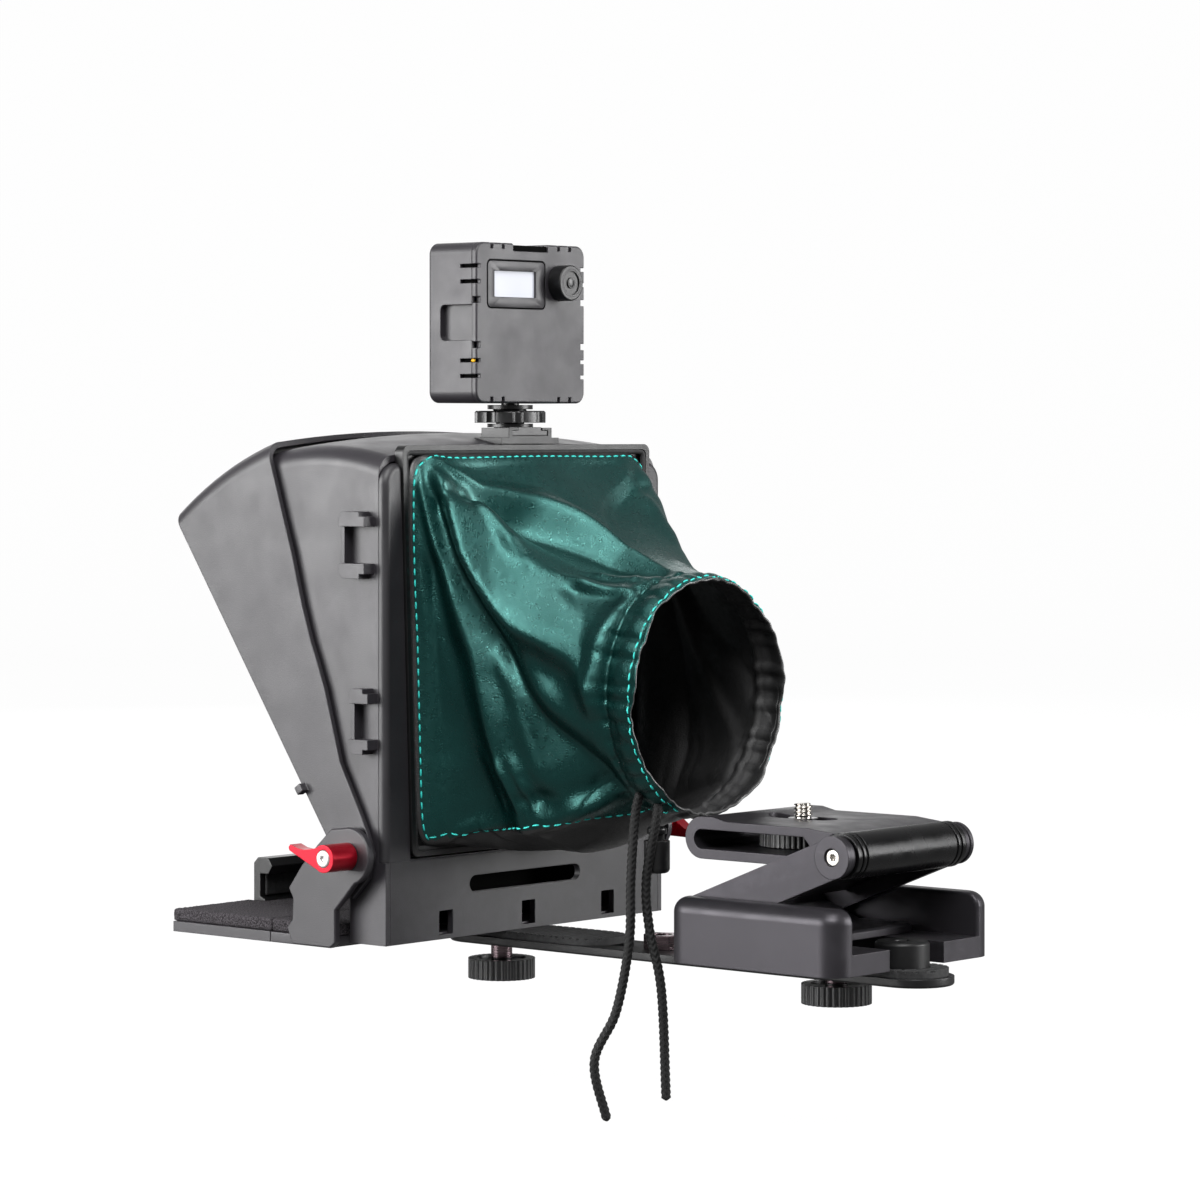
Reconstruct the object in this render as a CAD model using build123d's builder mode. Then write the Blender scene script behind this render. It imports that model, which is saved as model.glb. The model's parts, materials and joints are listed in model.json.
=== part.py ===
from build123d import *
import math
import os

# Teleprompter rig: a rail carries a hooded housing with tilted beam-splitter glass, a phone
# tray and an LED light at the front, and a stage with a folding camera head at the rear.
# Frame: X across the rig, Y along the lens axis (+Y towards the camera operator, the rear;
# -Y towards the talent, the front), Z up. Origin: axis of the tripod thread at the rail's
# underside. Measured side outlines are (distance in front of REAR_Y, height above BASE_Z).

# ---------------------------------------------------------------- shared dimensions
RAIL_THICK = 3.0
PAD_THICK = 2.5
TRIPOD_R = 3.175            # 1/4-20 thread, nominal radius
SCREW_R = 3.0               # thumbscrew threads and pivot bolts
RUN = 0.06                  # radial running clearance
BORE_R = SCREW_R + RUN
FRONT_SCREW = (0, -74)      # (X, Y) of the front thumbscrew
REAR_SCREW = (0, 75)
POST = (0, 102)             # post on the rear of the rail
REAR_SLOT = (0, 76.5)       # slot the rear thumbscrew slides in
REAR_SLOT_LENGTH = 23

REAR_Y = -61.3              # rear plane of the housing
BASE_Z = RAIL_THICK + PAD_THICK  # underside of the housing
SHELL_X = 72.5              # half width of the fixed shell
WALL = 2.0
PIVOT_H = 30.4              # height of the shade and tray pivot above BASE_Z
PIVOT = (REAR_Y - 10.5, BASE_Z + PIVOT_H)          # (Y, Z)
GLASS_HINGE = (REAR_Y - 11.0, BASE_Z + 38.6)       # (Y, Z)
HINGE_ROD_R = 1.5

LEFT_RIGHT = (-1, 1)        # signs of the -X and +X sides
THROUGH = 90                # half length of cuts that run right across the rig


# ---------------------------------------------------------------- helpers
def save(builder, name):
    """Label the finished part and write it as a STEP file."""
    builder.part.label = name
    export_step(builder.part, f"parts/{name}.step")


def at_x(x):
    """YZ plane at x, facing +X."""
    return Plane.YZ.offset(x)


def at_y(y, x=0, z=0):
    """Upright plane facing the front (-Y); local x is X, local y is Z."""
    return Plane(origin=(x, y, z), x_dir=(1, 0, 0), z_dir=(0, -1, 0))


def at_z(z):
    """Level plane at z, facing up."""
    return Plane.XY.offset(z)


def outward(sign, x, center):
    """Plane at sign * x around a (Y, Z) center, facing away from the middle of the rig."""
    return Plane(origin=(sign * x, *center), x_dir=(0, 1, 0), z_dir=(sign, 0, 0))


def side(points):
    """(distance in front of the rear plane, height above the housing) to (Y, Z)"""
    return [(REAR_Y - s, BASE_Z + h) for s, h in points]


def arch(half_x, base, spring, crown):
    """Points of a wide arch: the open polyline of its walls and base, and its top arc."""
    walls = [(half_x, spring), (half_x, base), (-half_x, base), (-half_x, spring)]
    return walls, [(-half_x, spring), (0, crown), (half_x, spring)]


def trapezoid(outline, inset=0):
    """Corners from (bottom half width, bottom height, top half width, top height)."""
    bottom_x, bottom_h, top_x, top_h = outline
    bottom_x, bottom_h = bottom_x - inset, bottom_h + inset
    top_x, top_h = top_x - inset, top_h - inset
    return [(-bottom_x, bottom_h), (bottom_x, bottom_h), (top_x, top_h), (-top_x, top_h)]


os.makedirs("parts", exist_ok=True)

# ---------------------------------------------------------------- rail
RAIL_WIDTH = 26.0
RAIL_Y0, RAIL_Y1 = -94.0, 120.0
PAD_WIDTH = 24
GROOVE_PITCH = 3.0
GROOVE_WIDTH, GROOVE_DEPTH = 1.0, 0.7
GROOVE_LENGTH = 30          # longer than the pad is wide
POST_R, POST_HEIGHT = 9.0, 10.8

with BuildPart() as base_rail:
    with BuildSketch(Plane.XY):
        with Locations((0, (RAIL_Y0 + RAIL_Y1) / 2)):
            SlotOverall(RAIL_Y1 - RAIL_Y0, RAIL_WIDTH, rotation=90)
        with Locations((0, 0)):
            Circle(TRIPOD_R, mode=Mode.SUBTRACT)
        with Locations(FRONT_SCREW):
            Circle(BORE_R, mode=Mode.SUBTRACT)
        with Locations(REAR_SLOT):
            SlotOverall(REAR_SLOT_LENGTH, 2 * (SCREW_R + 0.25), rotation=90, mode=Mode.SUBTRACT)
        with Locations((0, -36)):
            SlotOverall(44, 6.6, rotation=90, mode=Mode.SUBTRACT)
    extrude(amount=RAIL_THICK)
    chamfer(base_rail.faces().sort_by(Axis.Z)[0].outer_wire().edges(), 0.5)
save(base_rail, "base_rail")

with BuildPart() as rail_pad_front:
    with BuildSketch(at_z(RAIL_THICK)):
        with Locations((0, -52)):
            SlotOverall(64, PAD_WIDTH, rotation=90)
        with Locations(FRONT_SCREW):
            Circle(SCREW_R + 0.4, mode=Mode.SUBTRACT)
    extrude(amount=PAD_THICK)
    with BuildSketch(at_z(BASE_Z)):
        with Locations(*[(0, -82.5 + GROOVE_PITCH * i) for i in range(21)]):
            Rectangle(GROOVE_LENGTH, GROOVE_WIDTH)
    extrude(amount=-GROOVE_DEPTH, mode=Mode.SUBTRACT)
save(rail_pad_front, "rail_pad_front")

with BuildPart() as rail_pad_rear:
    with BuildSketch(at_z(RAIL_THICK)):
        with Locations((0, 77)):
            SlotOverall(82, PAD_WIDTH, rotation=90)
        with Locations(REAR_SLOT):
            SlotOverall(REAR_SLOT_LENGTH, 2 * (SCREW_R + 0.5), rotation=90, mode=Mode.SUBTRACT)
        with Locations(POST):
            Circle(POST_R + 0.3, mode=Mode.SUBTRACT)
    extrude(amount=PAD_THICK)
    with BuildSketch(at_z(BASE_Z)):
        with Locations(*[(0, 39.0 + GROOVE_PITCH * i) for i in range(27)]):
            Rectangle(GROOVE_LENGTH, GROOVE_WIDTH)
    extrude(amount=-GROOVE_DEPTH, mode=Mode.SUBTRACT)
save(rail_pad_rear, "rail_pad_rear")

with BuildPart() as tripod_nut:
    with BuildSketch(at_z(RAIL_THICK)):
        RegularPolygon(6.6, 6)
        Circle(TRIPOD_R, mode=Mode.SUBTRACT)
    extrude(amount=5)
save(tripod_nut, "tripod_nut")

with BuildPart() as rail_post:
    with BuildSketch(at_z(RAIL_THICK)):
        with Locations(POST):
            Circle(POST_R)
    extrude(amount=POST_HEIGHT)
    chamfer(rail_post.faces().sort_by(Axis.Z)[-1].edges(), 0.8)
    # hexagon socket in the top
    with BuildSketch(at_z(RAIL_THICK + POST_HEIGHT)):
        with Locations(POST):
            RegularPolygon(2.6, 6)
    extrude(amount=-3, mode=Mode.SUBTRACT)
save(rail_post, "rail_post")

# ---------------------------------------------------------------- fixed shell
# The roof is revolved about an X axis, so it is an arc in side view with a crown across X.
DOME_Y, DOME_Z = REAR_Y - 32.0, BASE_Z + 51.8
DOME_R = 121.9
DOME_SPRING = DOME_R - 4.9   # radius at the side walls, below the crown
DOME_PLANE = at_y(DOME_Y, z=DOME_Z)
DOME_AXIS = Axis((0, DOME_Y, DOME_Z), (1, 0, 0))
ROOF_CORNER_R = 7            # outer roof edge, also on the shade and the rear frame
SHELL_SIDE = [(0, 0), (0, 28), (3.4, 28), (3.4, 185), (62, 185), (58, 160), (50, 133),
              (41, 103), (34, 86), (27, 62), (20, 48), (16, 40), (17, 0)]
BOSS_R, BOSS_HEIGHT = 6.5, 6
SCREW_X, SCREW_HEIGHTS = 67.2, (60, 135)     # screws that hold the rear frame
SCREW_SHANK_R = 1.25
TAB_HEIGHT = 7
# side brackets: rear end, front end, then (foot, tip) heights of the upper and lower tab
BRACKETS = [(5.5, 17.3, (142.0, 147.0), (129.4, 124.3)),
            (3.8, 12.6, (82.0, 87.0), (69.8, 64.8))]
TAB_STEP, TAB_STEP_INSET = 1.6, 2.4

with BuildPart() as housing_shell:
    for shrink, mode in ((0, Mode.ADD), (WALL, Mode.SUBTRACT)):
        walls, crown = arch(SHELL_X - shrink, 0, DOME_SPRING - shrink, DOME_R - shrink)
        with BuildSketch(DOME_PLANE) as dome:
            with BuildLine():
                Polyline(*walls)
                ThreePointArc(*crown)
            make_face()
            fillet(dome.vertices().sort_by(Axis.Y)[-2:], ROOF_CORNER_R - shrink)
        revolve(axis=DOME_AXIS, mode=mode)
    with BuildSketch(Plane.YZ):
        with BuildLine():
            Polyline(*side(SHELL_SIDE), close=True)
        make_face()
    extrude(amount=THROUGH, both=True, mode=Mode.INTERSECT)
    # floor plate with the boss for the front thumbscrew
    with BuildSketch(at_z(BASE_Z)):
        with Locations((0, REAR_Y - 9.8)):
            Rectangle(2 * SHELL_X - 1, 14.4)
    extrude(amount=2)
    with BuildSketch(at_z(BASE_Z)):
        with Locations(FRONT_SCREW):
            Circle(BOSS_R)
    extrude(amount=BOSS_HEIGHT)
    with BuildSketch(at_z(BASE_Z)):
        with Locations(FRONT_SCREW):
            Circle(BORE_R)
    extrude(amount=BOSS_HEIGHT, mode=Mode.SUBTRACT)
    # stiffening rib along the front edge of the floor
    with BuildSketch(Plane.YZ):
        with Locations((REAR_Y - 16.5, BASE_Z + 12.0)):
            Rectangle(1.2, 24.0)
    extrude(amount=SHELL_X - 1.0, both=True)
    # clear the rib from the screw, then restore the boss around it
    with BuildSketch(at_z(BASE_Z)):
        with Locations(FRONT_SCREW):
            Circle(SCREW_R + 0.8)
    extrude(amount=14, mode=Mode.SUBTRACT)
    with BuildSketch(at_z(BASE_Z)):
        with Locations(FRONT_SCREW):
            Circle(BOSS_R)
            Circle(BORE_R, mode=Mode.SUBTRACT)
    extrude(amount=BOSS_HEIGHT)
    for sign in LEFT_RIGHT:
        # inner boss for the glass hinge rod
        with BuildSketch(outward(sign, SHELL_X - WALL, GLASS_HINGE)):
            Circle(3.0)
        extrude(amount=-3)
        # screw tabs in front of the rear frame
        for height in SCREW_HEIGHTS:
            with BuildSketch(at_z(BASE_Z + height - TAB_HEIGHT / 2)):
                with Locations((sign * (SHELL_X - WALL - 2.6), REAR_Y - 8.8)):
                    Rectangle(5.6, 3.0)
            extrude(amount=TAB_HEIGHT)
            with BuildSketch(at_y(REAR_Y - 5, sign * SCREW_X, BASE_Z + height)):
                Circle(SCREW_SHANK_R)
            extrude(amount=6, mode=Mode.SUBTRACT)
    with BuildSketch(Plane.YZ):
        with Locations(GLASS_HINGE):
            Circle(HINGE_ROD_R)
    extrude(amount=SHELL_X - 1.0, both=True, mode=Mode.SUBTRACT)
    with BuildSketch(Plane.YZ):
        with Locations(PIVOT):
            Circle(SCREW_R)
    extrude(amount=THROUGH, both=True, mode=Mode.SUBTRACT)
    # two brackets on each side wall: two stepped tabs joined by a thinner web at the front
    for sign in LEFT_RIGHT:
        for rear_s, front_s, upper_tab, lower_tab in BRACKETS:
            for foot, tip in (upper_tab, lower_tab):
                shoulder = tip - math.copysign(TAB_STEP, tip - foot)
                tab = [(front_s, foot), (rear_s, foot), (rear_s, shoulder),
                       (rear_s + TAB_STEP_INSET, shoulder), (rear_s + TAB_STEP_INSET, tip),
                       (front_s - TAB_STEP, tip), (front_s, shoulder)]
                with BuildSketch(at_x(sign * SHELL_X)):
                    with BuildLine():
                        Polyline(*side(tab), close=True)
                    make_face()
                extrude(amount=sign * 5)
            web_bottom, web_top = lower_tab[0], upper_tab[0]
            with BuildSketch(at_x(sign * SHELL_X)):
                with Locations((REAR_Y - front_s + 0.7, BASE_Z + (web_bottom + web_top) / 2)):
                    Rectangle(1.4, web_top - web_bottom + 1)
            extrude(amount=sign * 3.6)
save(housing_shell, "housing_shell")

# ---------------------------------------------------------------- rear frame
FRAME_X = 70.4               # half width inside the shell
PANEL_Y, PANEL_THICK = REAR_Y - 5.2, 2.0
APRON_HEIGHT = 28.0          # plate below the window
# trapezoids: (bottom half width, bottom height, top half width, top height)
WINDOW = (57.0, 36.0, 61.5, 162.5)
SKIN_OPENING = (60.15, 28.6, 65.4, 176)
COLUMN_FOOT_H, COLUMN_TOP_H = 28.1, 163.4

with BuildPart() as rear_frame:
    with BuildSketch(at_y(REAR_Y, z=BASE_Z)):
        with Locations((0, APRON_HEIGHT / 2)):
            Rectangle(2 * FRAME_X, APRON_HEIGHT)
        with Locations((1.5, 17.8)):
            SlotOverall(58, 5.8, mode=Mode.SUBTRACT)
        with Locations(*[(x, 5.65) for x in (-42.5, 0, 42.5)]):
            Rectangle(6.9, 8.3, mode=Mode.SUBTRACT)
    extrude(amount=2.5)
    # ledge from the lower plate to the recessed panel
    with BuildSketch(at_z(BASE_Z + 26)):
        with Locations((0, REAR_Y - 3.6)):
            Rectangle(2 * FRAME_X, 7.2)
    extrude(amount=2.0)
    walls, crown = arch(FRAME_X, 26, 163.2, 168.1)
    with BuildSketch(at_y(PANEL_Y, z=BASE_Z)) as panel:
        with BuildLine():
            Polyline(*walls)
            ThreePointArc(*crown)
        make_face()
        fillet(panel.vertices().sort_by(Axis.Y)[-2:], 6)
    extrude(amount=PANEL_THICK)
    # window and clearance around the pivot bolts
    with BuildSketch(at_y(PANEL_Y, z=BASE_Z)) as hole:
        with BuildLine():
            Polyline(*trapezoid(WINDOW), close=True)
        make_face()
        fillet(hole.vertices(), 4)
        with Locations((69.5, PIVOT_H), (-69.5, PIVOT_H)):
            Rectangle(6.4, 11.0)
    extrude(amount=PANEL_THICK, mode=Mode.SUBTRACT)
    for sign in LEFT_RIGHT:
        for height in SCREW_HEIGHTS:
            with BuildSketch(at_y(PANEL_Y, sign * SCREW_X, BASE_Z + height)):
                Circle(SCREW_SHANK_R)
            extrude(amount=PANEL_THICK, mode=Mode.SUBTRACT)
    # outer corner columns, flush with the side walls and rounded at the back
    with BuildSketch(at_y(REAR_Y - 0.2, z=BASE_Z)) as skin:
        with BuildLine():
            Polyline((FRAME_X, 26.5), (FRAME_X, COLUMN_FOOT_H), (SHELL_X, COLUMN_FOOT_H),
                     (SHELL_X, COLUMN_TOP_H), (-SHELL_X, COLUMN_TOP_H),
                     (-SHELL_X, COLUMN_FOOT_H), (-FRAME_X, COLUMN_FOOT_H), (-FRAME_X, 26.5),
                     close=True)
        make_face()
        fillet(skin.vertices().sort_by(Axis.Y)[-2:], ROOF_CORNER_R)
        with BuildLine():
            Polyline(*trapezoid(SKIN_OPENING), close=True)
        make_face(mode=Mode.SUBTRACT)
    extrude(amount=3.1)
    outer_edges = rear_frame.edges().filter_by(Axis.Z).filter_by(
        lambda e: abs(abs(e.center().X) - SHELL_X) < 0.05 and e.center().Y > REAR_Y - 0.4)
    fillet(outer_edges, 2.6)
    # strips that join the columns to the panel
    for sign in LEFT_RIGHT:
        with BuildSketch(at_z(BASE_Z + 27)):
            with Locations((sign * 69.9, REAR_Y - 4.2)):
                Rectangle(1.1, 2.4)
        extrude(amount=128)
save(rear_frame, "rear_frame")

HEAD_THICK = 1.3
with BuildPart() as housing_screws:
    for sign in LEFT_RIGHT:
        for height in SCREW_HEIGHTS:
            with BuildSketch(at_y(PANEL_Y + HEAD_THICK, sign * SCREW_X, BASE_Z + height)):
                Circle(1.9)
            extrude(amount=HEAD_THICK)
            with BuildSketch(at_y(PANEL_Y, sign * SCREW_X, BASE_Z + height)):
                Circle(SCREW_SHANK_R)
            extrude(amount=4.9)
save(housing_screws, "housing_screws")

# frame that grips the cloth hood: thin protruding wall, flange and collar
RIM = (60.0, 29.2, 65.0, 169.6)
FLANGE = (59.6, 33.6, 64.2, 164.6)
RIM_Y = REAR_Y + 0.8
# (rear plane, corner points, corner radius, depth towards the front, mode)
RIM_STEPS = [(RIM_Y, trapezoid(RIM), 3, 3.9, Mode.ADD),
             (RIM_Y, trapezoid(RIM, inset=2), 2, 2.7, Mode.SUBTRACT),
             (REAR_Y - 3.0, trapezoid(FLANGE), 5, 2.1, Mode.ADD),
             (RIM_Y, trapezoid(WINDOW, inset=2), 4, 8, Mode.SUBTRACT)]
with BuildPart() as hood_rim:
    for plane_y, corners, corner_r, depth, mode in RIM_STEPS:
        with BuildSketch(at_y(plane_y, z=BASE_Z)) as outline:
            with BuildLine():
                Polyline(*corners, close=True)
            make_face()
            fillet(outline.vertices(), corner_r)
        extrude(amount=depth, mode=mode)
save(hood_rim, "hood_rim")

# ---------------------------------------------------------------- cloth hood
THROAT_Y, THROAT_Z, THROAT_R = 22.0, 90.0, 40.0
HOOD_SIDES = 32
HOOD_Y0 = REAR_Y - 1.8
SQUARENESS = 7.0             # superellipse exponent of the rim outline
HOOD_STATIONS = [(0.0, 0.0), (0.30, 0.37), (0.62, 0.72), (0.88, 1.0), (1.0, 1.0)]
# columns: fraction of the hood's length, blend from rim outline to throat
HOOD_OVERCUT = 0.02          # the inner loft runs this far past both ends


def ring_points(blend, inset):
    """Matching outlines: blend 0 is the rim opening, blend 1 the round throat."""
    points = []
    for i in range(HOOD_SIDES):
        angle = 2 * math.pi * (i + 0.5) / HOOD_SIDES
        c, s = math.cos(angle), math.sin(angle)
        scale = (abs(c) ** SQUARENESS + abs(s) ** SQUARENESS) ** (-1 / SQUARENESS)
        rise = s * scale
        half_width = 59.8 + 2.4 * rise - inset
        rim_x = half_width * c * scale
        rim_z = BASE_Z + 99.4 + (67.4 - inset) * rise
        throat_x = (THROAT_R - inset) * c
        throat_z = THROAT_Z + (THROAT_R - inset) * s
        points.append((rim_x + (throat_x - rim_x) * blend, rim_z + (throat_z - rim_z) * blend))
    return points


with BuildPart() as cloth_hood:
    for inset, overcut, mode in ((0.4, 0, Mode.ADD), (1.9, HOOD_OVERCUT, Mode.SUBTRACT)):
        for fraction, blend in HOOD_STATIONS:
            y = HOOD_Y0 + (THROAT_Y - HOOD_Y0) * fraction
            if fraction == 0:
                y -= overcut
            if fraction == 1:
                y += overcut
            with BuildSketch(at_y(y)):
                with BuildLine():
                    Polyline(*ring_points(blend, inset), close=True)
                make_face()
        loft(ruled=True, mode=mode)
save(cloth_hood, "cloth_hood")

# (X, Y, Z) points along the two tails of the cord
CORD_TAILS = [
    [(26, 12.2, 57.6), (26.3, 10, 50), (27.5, 9.2, 29), (28, 9, 9), (31, 5.8, -14.6),
     (37, 1.3, -31.4), (33, 3.5, -51.5)],
    [(21.6, 16.4, 55.0), (22, 15.9, 50), (22.5, 11.8, 29), (22, 12.8, 12.3),
     (20, 16.3, -7.9), (19, 17.6, -44.8)],
]
with BuildPart() as drawstring_cord:
    for tail in CORD_TAILS:
        with BuildLine() as cord_path:
            Spline(*tail)
        with BuildSketch(Plane(origin=cord_path.line @ 0, z_dir=cord_path.line % 0)):
            Circle(1.25)
        sweep(path=cord_path.line)
save(drawstring_cord, "drawstring_cord")

# spring cord lock that sits under the throat, beside the two tails
LOCK = (16.6, 11.5)          # (X, Y) of its axis
LOCK_TOP = 42.0              # top of the body
LOCK_HEIGHT = 11
BUTTON_R = 2.5
with BuildPart() as cord_lock_body:
    with BuildSketch(at_z(LOCK_TOP - LOCK_HEIGHT)):
        with Locations(LOCK):
            Circle(4.4)
    extrude(amount=LOCK_HEIGHT)
    fillet(cord_lock_body.faces().sort_by(Axis.Z)[0].edges(), 1.6)
    with BuildSketch(at_z(LOCK_TOP)):
        with Locations(LOCK):
            Circle(BUTTON_R + RUN)
    extrude(amount=-8, mode=Mode.SUBTRACT)
save(cord_lock_body, "cord_lock_body")

with BuildPart() as cord_lock_button:
    with BuildSketch(at_z(LOCK_TOP - 4.0)):
        with Locations(LOCK):
            Circle(BUTTON_R)
    extrude(amount=6.2)
    with BuildSketch(at_z(LOCK_TOP + 2.2)):
        with Locations(LOCK):
            Circle(3.4)
    extrude(amount=2.4)
    fillet(cord_lock_button.faces().sort_by(Axis.Z)[-1].edges(), 1.1)
save(cord_lock_button, "cord_lock_button")

# ---------------------------------------------------------------- thumbscrews
COLLAR_R = 3.75
COLLAR_TOP = -0.05           # just clear of the rail's underside


def build_thumbscrew(name, center, radius, bottom, top, tip):
    """Knurled knob from bottom to top, and its collared shaft from bottom up to tip."""
    with BuildPart() as knob:
        with BuildSketch(at_z(bottom)):
            with Locations(center):
                Circle(radius)
                Circle(SCREW_R, mode=Mode.SUBTRACT)
                with PolarLocations(radius + 0.5, 36):
                    Circle(0.85, mode=Mode.SUBTRACT)
        extrude(amount=top - bottom)
        # ring recess around the collar
        with BuildSketch(at_z(top)):
            with Locations(center):
                Circle(8.6)
                Circle(COLLAR_R, mode=Mode.SUBTRACT)
        extrude(amount=-0.9, mode=Mode.SUBTRACT)
    save(knob, name)

    with BuildPart() as shaft:
        with BuildSketch(at_z(bottom)):
            with Locations(center):
                Circle(SCREW_R)
        extrude(amount=tip - bottom)
        with BuildSketch(at_z(top)):
            with Locations(center):
                Circle(COLLAR_R)
        extrude(amount=COLLAR_TOP - top)
    save(shaft, f"{name}_shaft")


build_thumbscrew("front_knob", FRONT_SCREW, radius=11.8, bottom=-12.8, top=-5.8, tip=10.8)
build_thumbscrew("rear_knob", REAR_SCREW, radius=11.7, bottom=-9.0, top=-2.4, tip=10.6)

# ---------------------------------------------------------------- front shade
SHADE_X = 75.2               # half width
SHADE_R = 151.0              # roof radius about the pivot
SHADE_SPRING = 146.3         # radius at the side walls
SHADE_SIDE = [(6.0, 22.4), (13.0, 15.4), (19.5, 19.5), (25.9, 36.4), (100.9, 144.9),
              (112, 161), (59.5, 185), (52.7, 164), (46.7, 145.6), (42.4, 132.8),
              (37.2, 114.5), (33.2, 102.7), (30.3, 96), (26.4, 86.2), (19.1, 61.5),
              (10.4, 46), (6.5, 38.6), (3.6, 31)]
with BuildPart() as front_shade:
    for shrink, mode in ((0, Mode.ADD), (WALL, Mode.SUBTRACT)):
        walls, crown = arch(SHADE_X - shrink, 0, SHADE_SPRING - shrink, SHADE_R - shrink)
        with BuildSketch(at_y(PIVOT[0], z=PIVOT[1])) as roof:
            with BuildLine():
                Polyline(*walls)
                ThreePointArc(*crown)
            make_face()
            fillet(roof.vertices().sort_by(Axis.Y)[-2:], ROOF_CORNER_R - shrink)
        revolve(axis=Axis((0, *PIVOT), (1, 0, 0)), mode=mode)
    with BuildSketch(Plane.YZ):
        with BuildLine():
            Polyline(*side(SHADE_SIDE), close=True)
        make_face()
    extrude(amount=THROUGH, both=True, mode=Mode.INTERSECT)
    # small square stud on each side
    for sign in LEFT_RIGHT:
        with BuildSketch(outward(sign, SHADE_X, (REAR_Y - 36.0, BASE_Z + 51.6))):
            Rectangle(3.0, 3.0, rotation=35)
        extrude(amount=3)
    with BuildSketch(Plane.YZ):
        with Locations(PIVOT):
            Circle(BORE_R)
    extrude(amount=THROUGH, both=True, mode=Mode.SUBTRACT)
save(front_shade, "front_shade")

# ---------------------------------------------------------------- pivot hardware
BOLT_SEAT_X = SHELL_X - WALL
BOLT_HEAD_THICK = 2.9
with BuildPart() as pivot_bolts:
    for sign in LEFT_RIGHT:
        with BuildSketch(outward(sign, BOLT_SEAT_X - BOLT_HEAD_THICK, PIVOT)):
            RegularPolygon(4.4, 6)
        extrude(amount=BOLT_HEAD_THICK)
        with BuildSketch(outward(sign, BOLT_SEAT_X, PIVOT)):
            Circle(SCREW_R)
        extrude(amount=19.6)
save(pivot_bolts, "pivot_bolts")

with BuildPart() as friction_washers:
    for sign in LEFT_RIGHT:
        with BuildSketch(outward(sign, SHADE_X + 0.1, PIVOT)):
            Circle(8.0)
            Circle(SCREW_R, mode=Mode.SUBTRACT)
        extrude(amount=2.1)
save(friction_washers, "friction_washers")

# ---------------------------------------------------------------- beam-splitter glass
GLASS_LENGTH = 126.0         # hinge axis to the top edge
GLASS_FOOT = 4               # hinge axis to the bottom edge
GLASS_THICK, GLASS_X = 2.0, 64.5
GLASS_TILT = math.radians(50.5)
GLASS_MID = (0, (GLASS_LENGTH + GLASS_FOOT) / 2)
GLASS_HEIGHT = GLASS_LENGTH - GLASS_FOOT
CHANNEL_HEIGHT, CHANNEL_THICK = 8, 4.8
TRIM_FOOT, TRIM_THICK = 8.4, 4.0
# local x is X, local y runs up the glass, the normal points forward and down
GLASS_PLANE = Plane(origin=(0, *GLASS_HINGE), x_dir=(1, 0, 0),
                    z_dir=(0, -math.sin(GLASS_TILT), -math.cos(GLASS_TILT)))

with BuildPart() as glass_pane:
    with BuildSketch(GLASS_PLANE.offset(-GLASS_THICK / 2)):
        with Locations(GLASS_MID):
            Rectangle(2 * GLASS_X, GLASS_HEIGHT)
    extrude(amount=GLASS_THICK)
save(glass_pane, "glass_pane")

with BuildPart() as glass_channel:
    with BuildSketch(GLASS_PLANE.offset(-CHANNEL_THICK / 2)):
        with Locations((0, CHANNEL_HEIGHT / 2)):
            Rectangle(2 * GLASS_X, CHANNEL_HEIGHT)
    extrude(amount=CHANNEL_THICK)
    with BuildSketch(Plane.YZ):
        with Locations(GLASS_HINGE):
            Circle(2.9)
    extrude(amount=GLASS_X, both=True)
    with BuildSketch(GLASS_PLANE.offset(-GLASS_THICK / 2)):
        with Locations(GLASS_MID):
            Rectangle(2 * GLASS_X + 2, GLASS_HEIGHT)
    extrude(amount=GLASS_THICK, mode=Mode.SUBTRACT)
    with BuildSketch(Plane.YZ):
        with Locations(GLASS_HINGE):
            Circle(HINGE_ROD_R + RUN)
    extrude(amount=GLASS_X + 2, both=True, mode=Mode.SUBTRACT)
save(glass_channel, "glass_channel")

with BuildPart() as glass_edge_trims:
    for sign in LEFT_RIGHT:
        with BuildSketch(GLASS_PLANE.offset(-TRIM_THICK / 2)):
            with Locations((sign * (GLASS_X + 0.1), (GLASS_LENGTH + TRIM_FOOT) / 2)):
                Rectangle(3.6, GLASS_LENGTH - TRIM_FOOT)
        extrude(amount=TRIM_THICK)
    with BuildSketch(GLASS_PLANE.offset(-GLASS_THICK / 2)):
        with Locations(GLASS_MID):
            Rectangle(2 * GLASS_X, GLASS_HEIGHT)
    extrude(amount=GLASS_THICK, mode=Mode.SUBTRACT)
save(glass_edge_trims, "glass_edge_trims")

with BuildPart() as glass_hinge_rod:
    with BuildSketch(Plane.YZ):
        with Locations(GLASS_HINGE):
            Circle(HINGE_ROD_R)
    extrude(amount=SHELL_X - 1.0, both=True)
save(glass_hinge_rod, "glass_hinge_rod")

# ---------------------------------------------------------------- phone tray
TRAY_X = 77.5                # half width
TRAY_THICK, FOAM_THICK = 3.6, 4.5
TRAY_REAR, TRAY_JOINT, TRAY_FRONT = 21.8, 50.3, 98.5     # distances in front of REAR_Y
TRAY_DEPTH = TRAY_JOINT - TRAY_REAR - 0.15
TRAY_MID = (0, REAR_Y - (TRAY_REAR + TRAY_JOINT - 0.15) / 2)
TRAY_Z0 = BASE_Z - TRAY_THICK / 2
FOAM_Z0 = TRAY_Z0 + TRAY_THICK
FOAM_X = TRAY_X - 0.6
NOTCH = (0, REAR_Y - 32)     # opening in the middle of the tray
NOTCH_SIZE = (34, 22)
GUIDE_X = 28                 # slots for the feet of the rear jaw
TONGUE_X = 52                # tongues that join the extension to the tray

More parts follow.
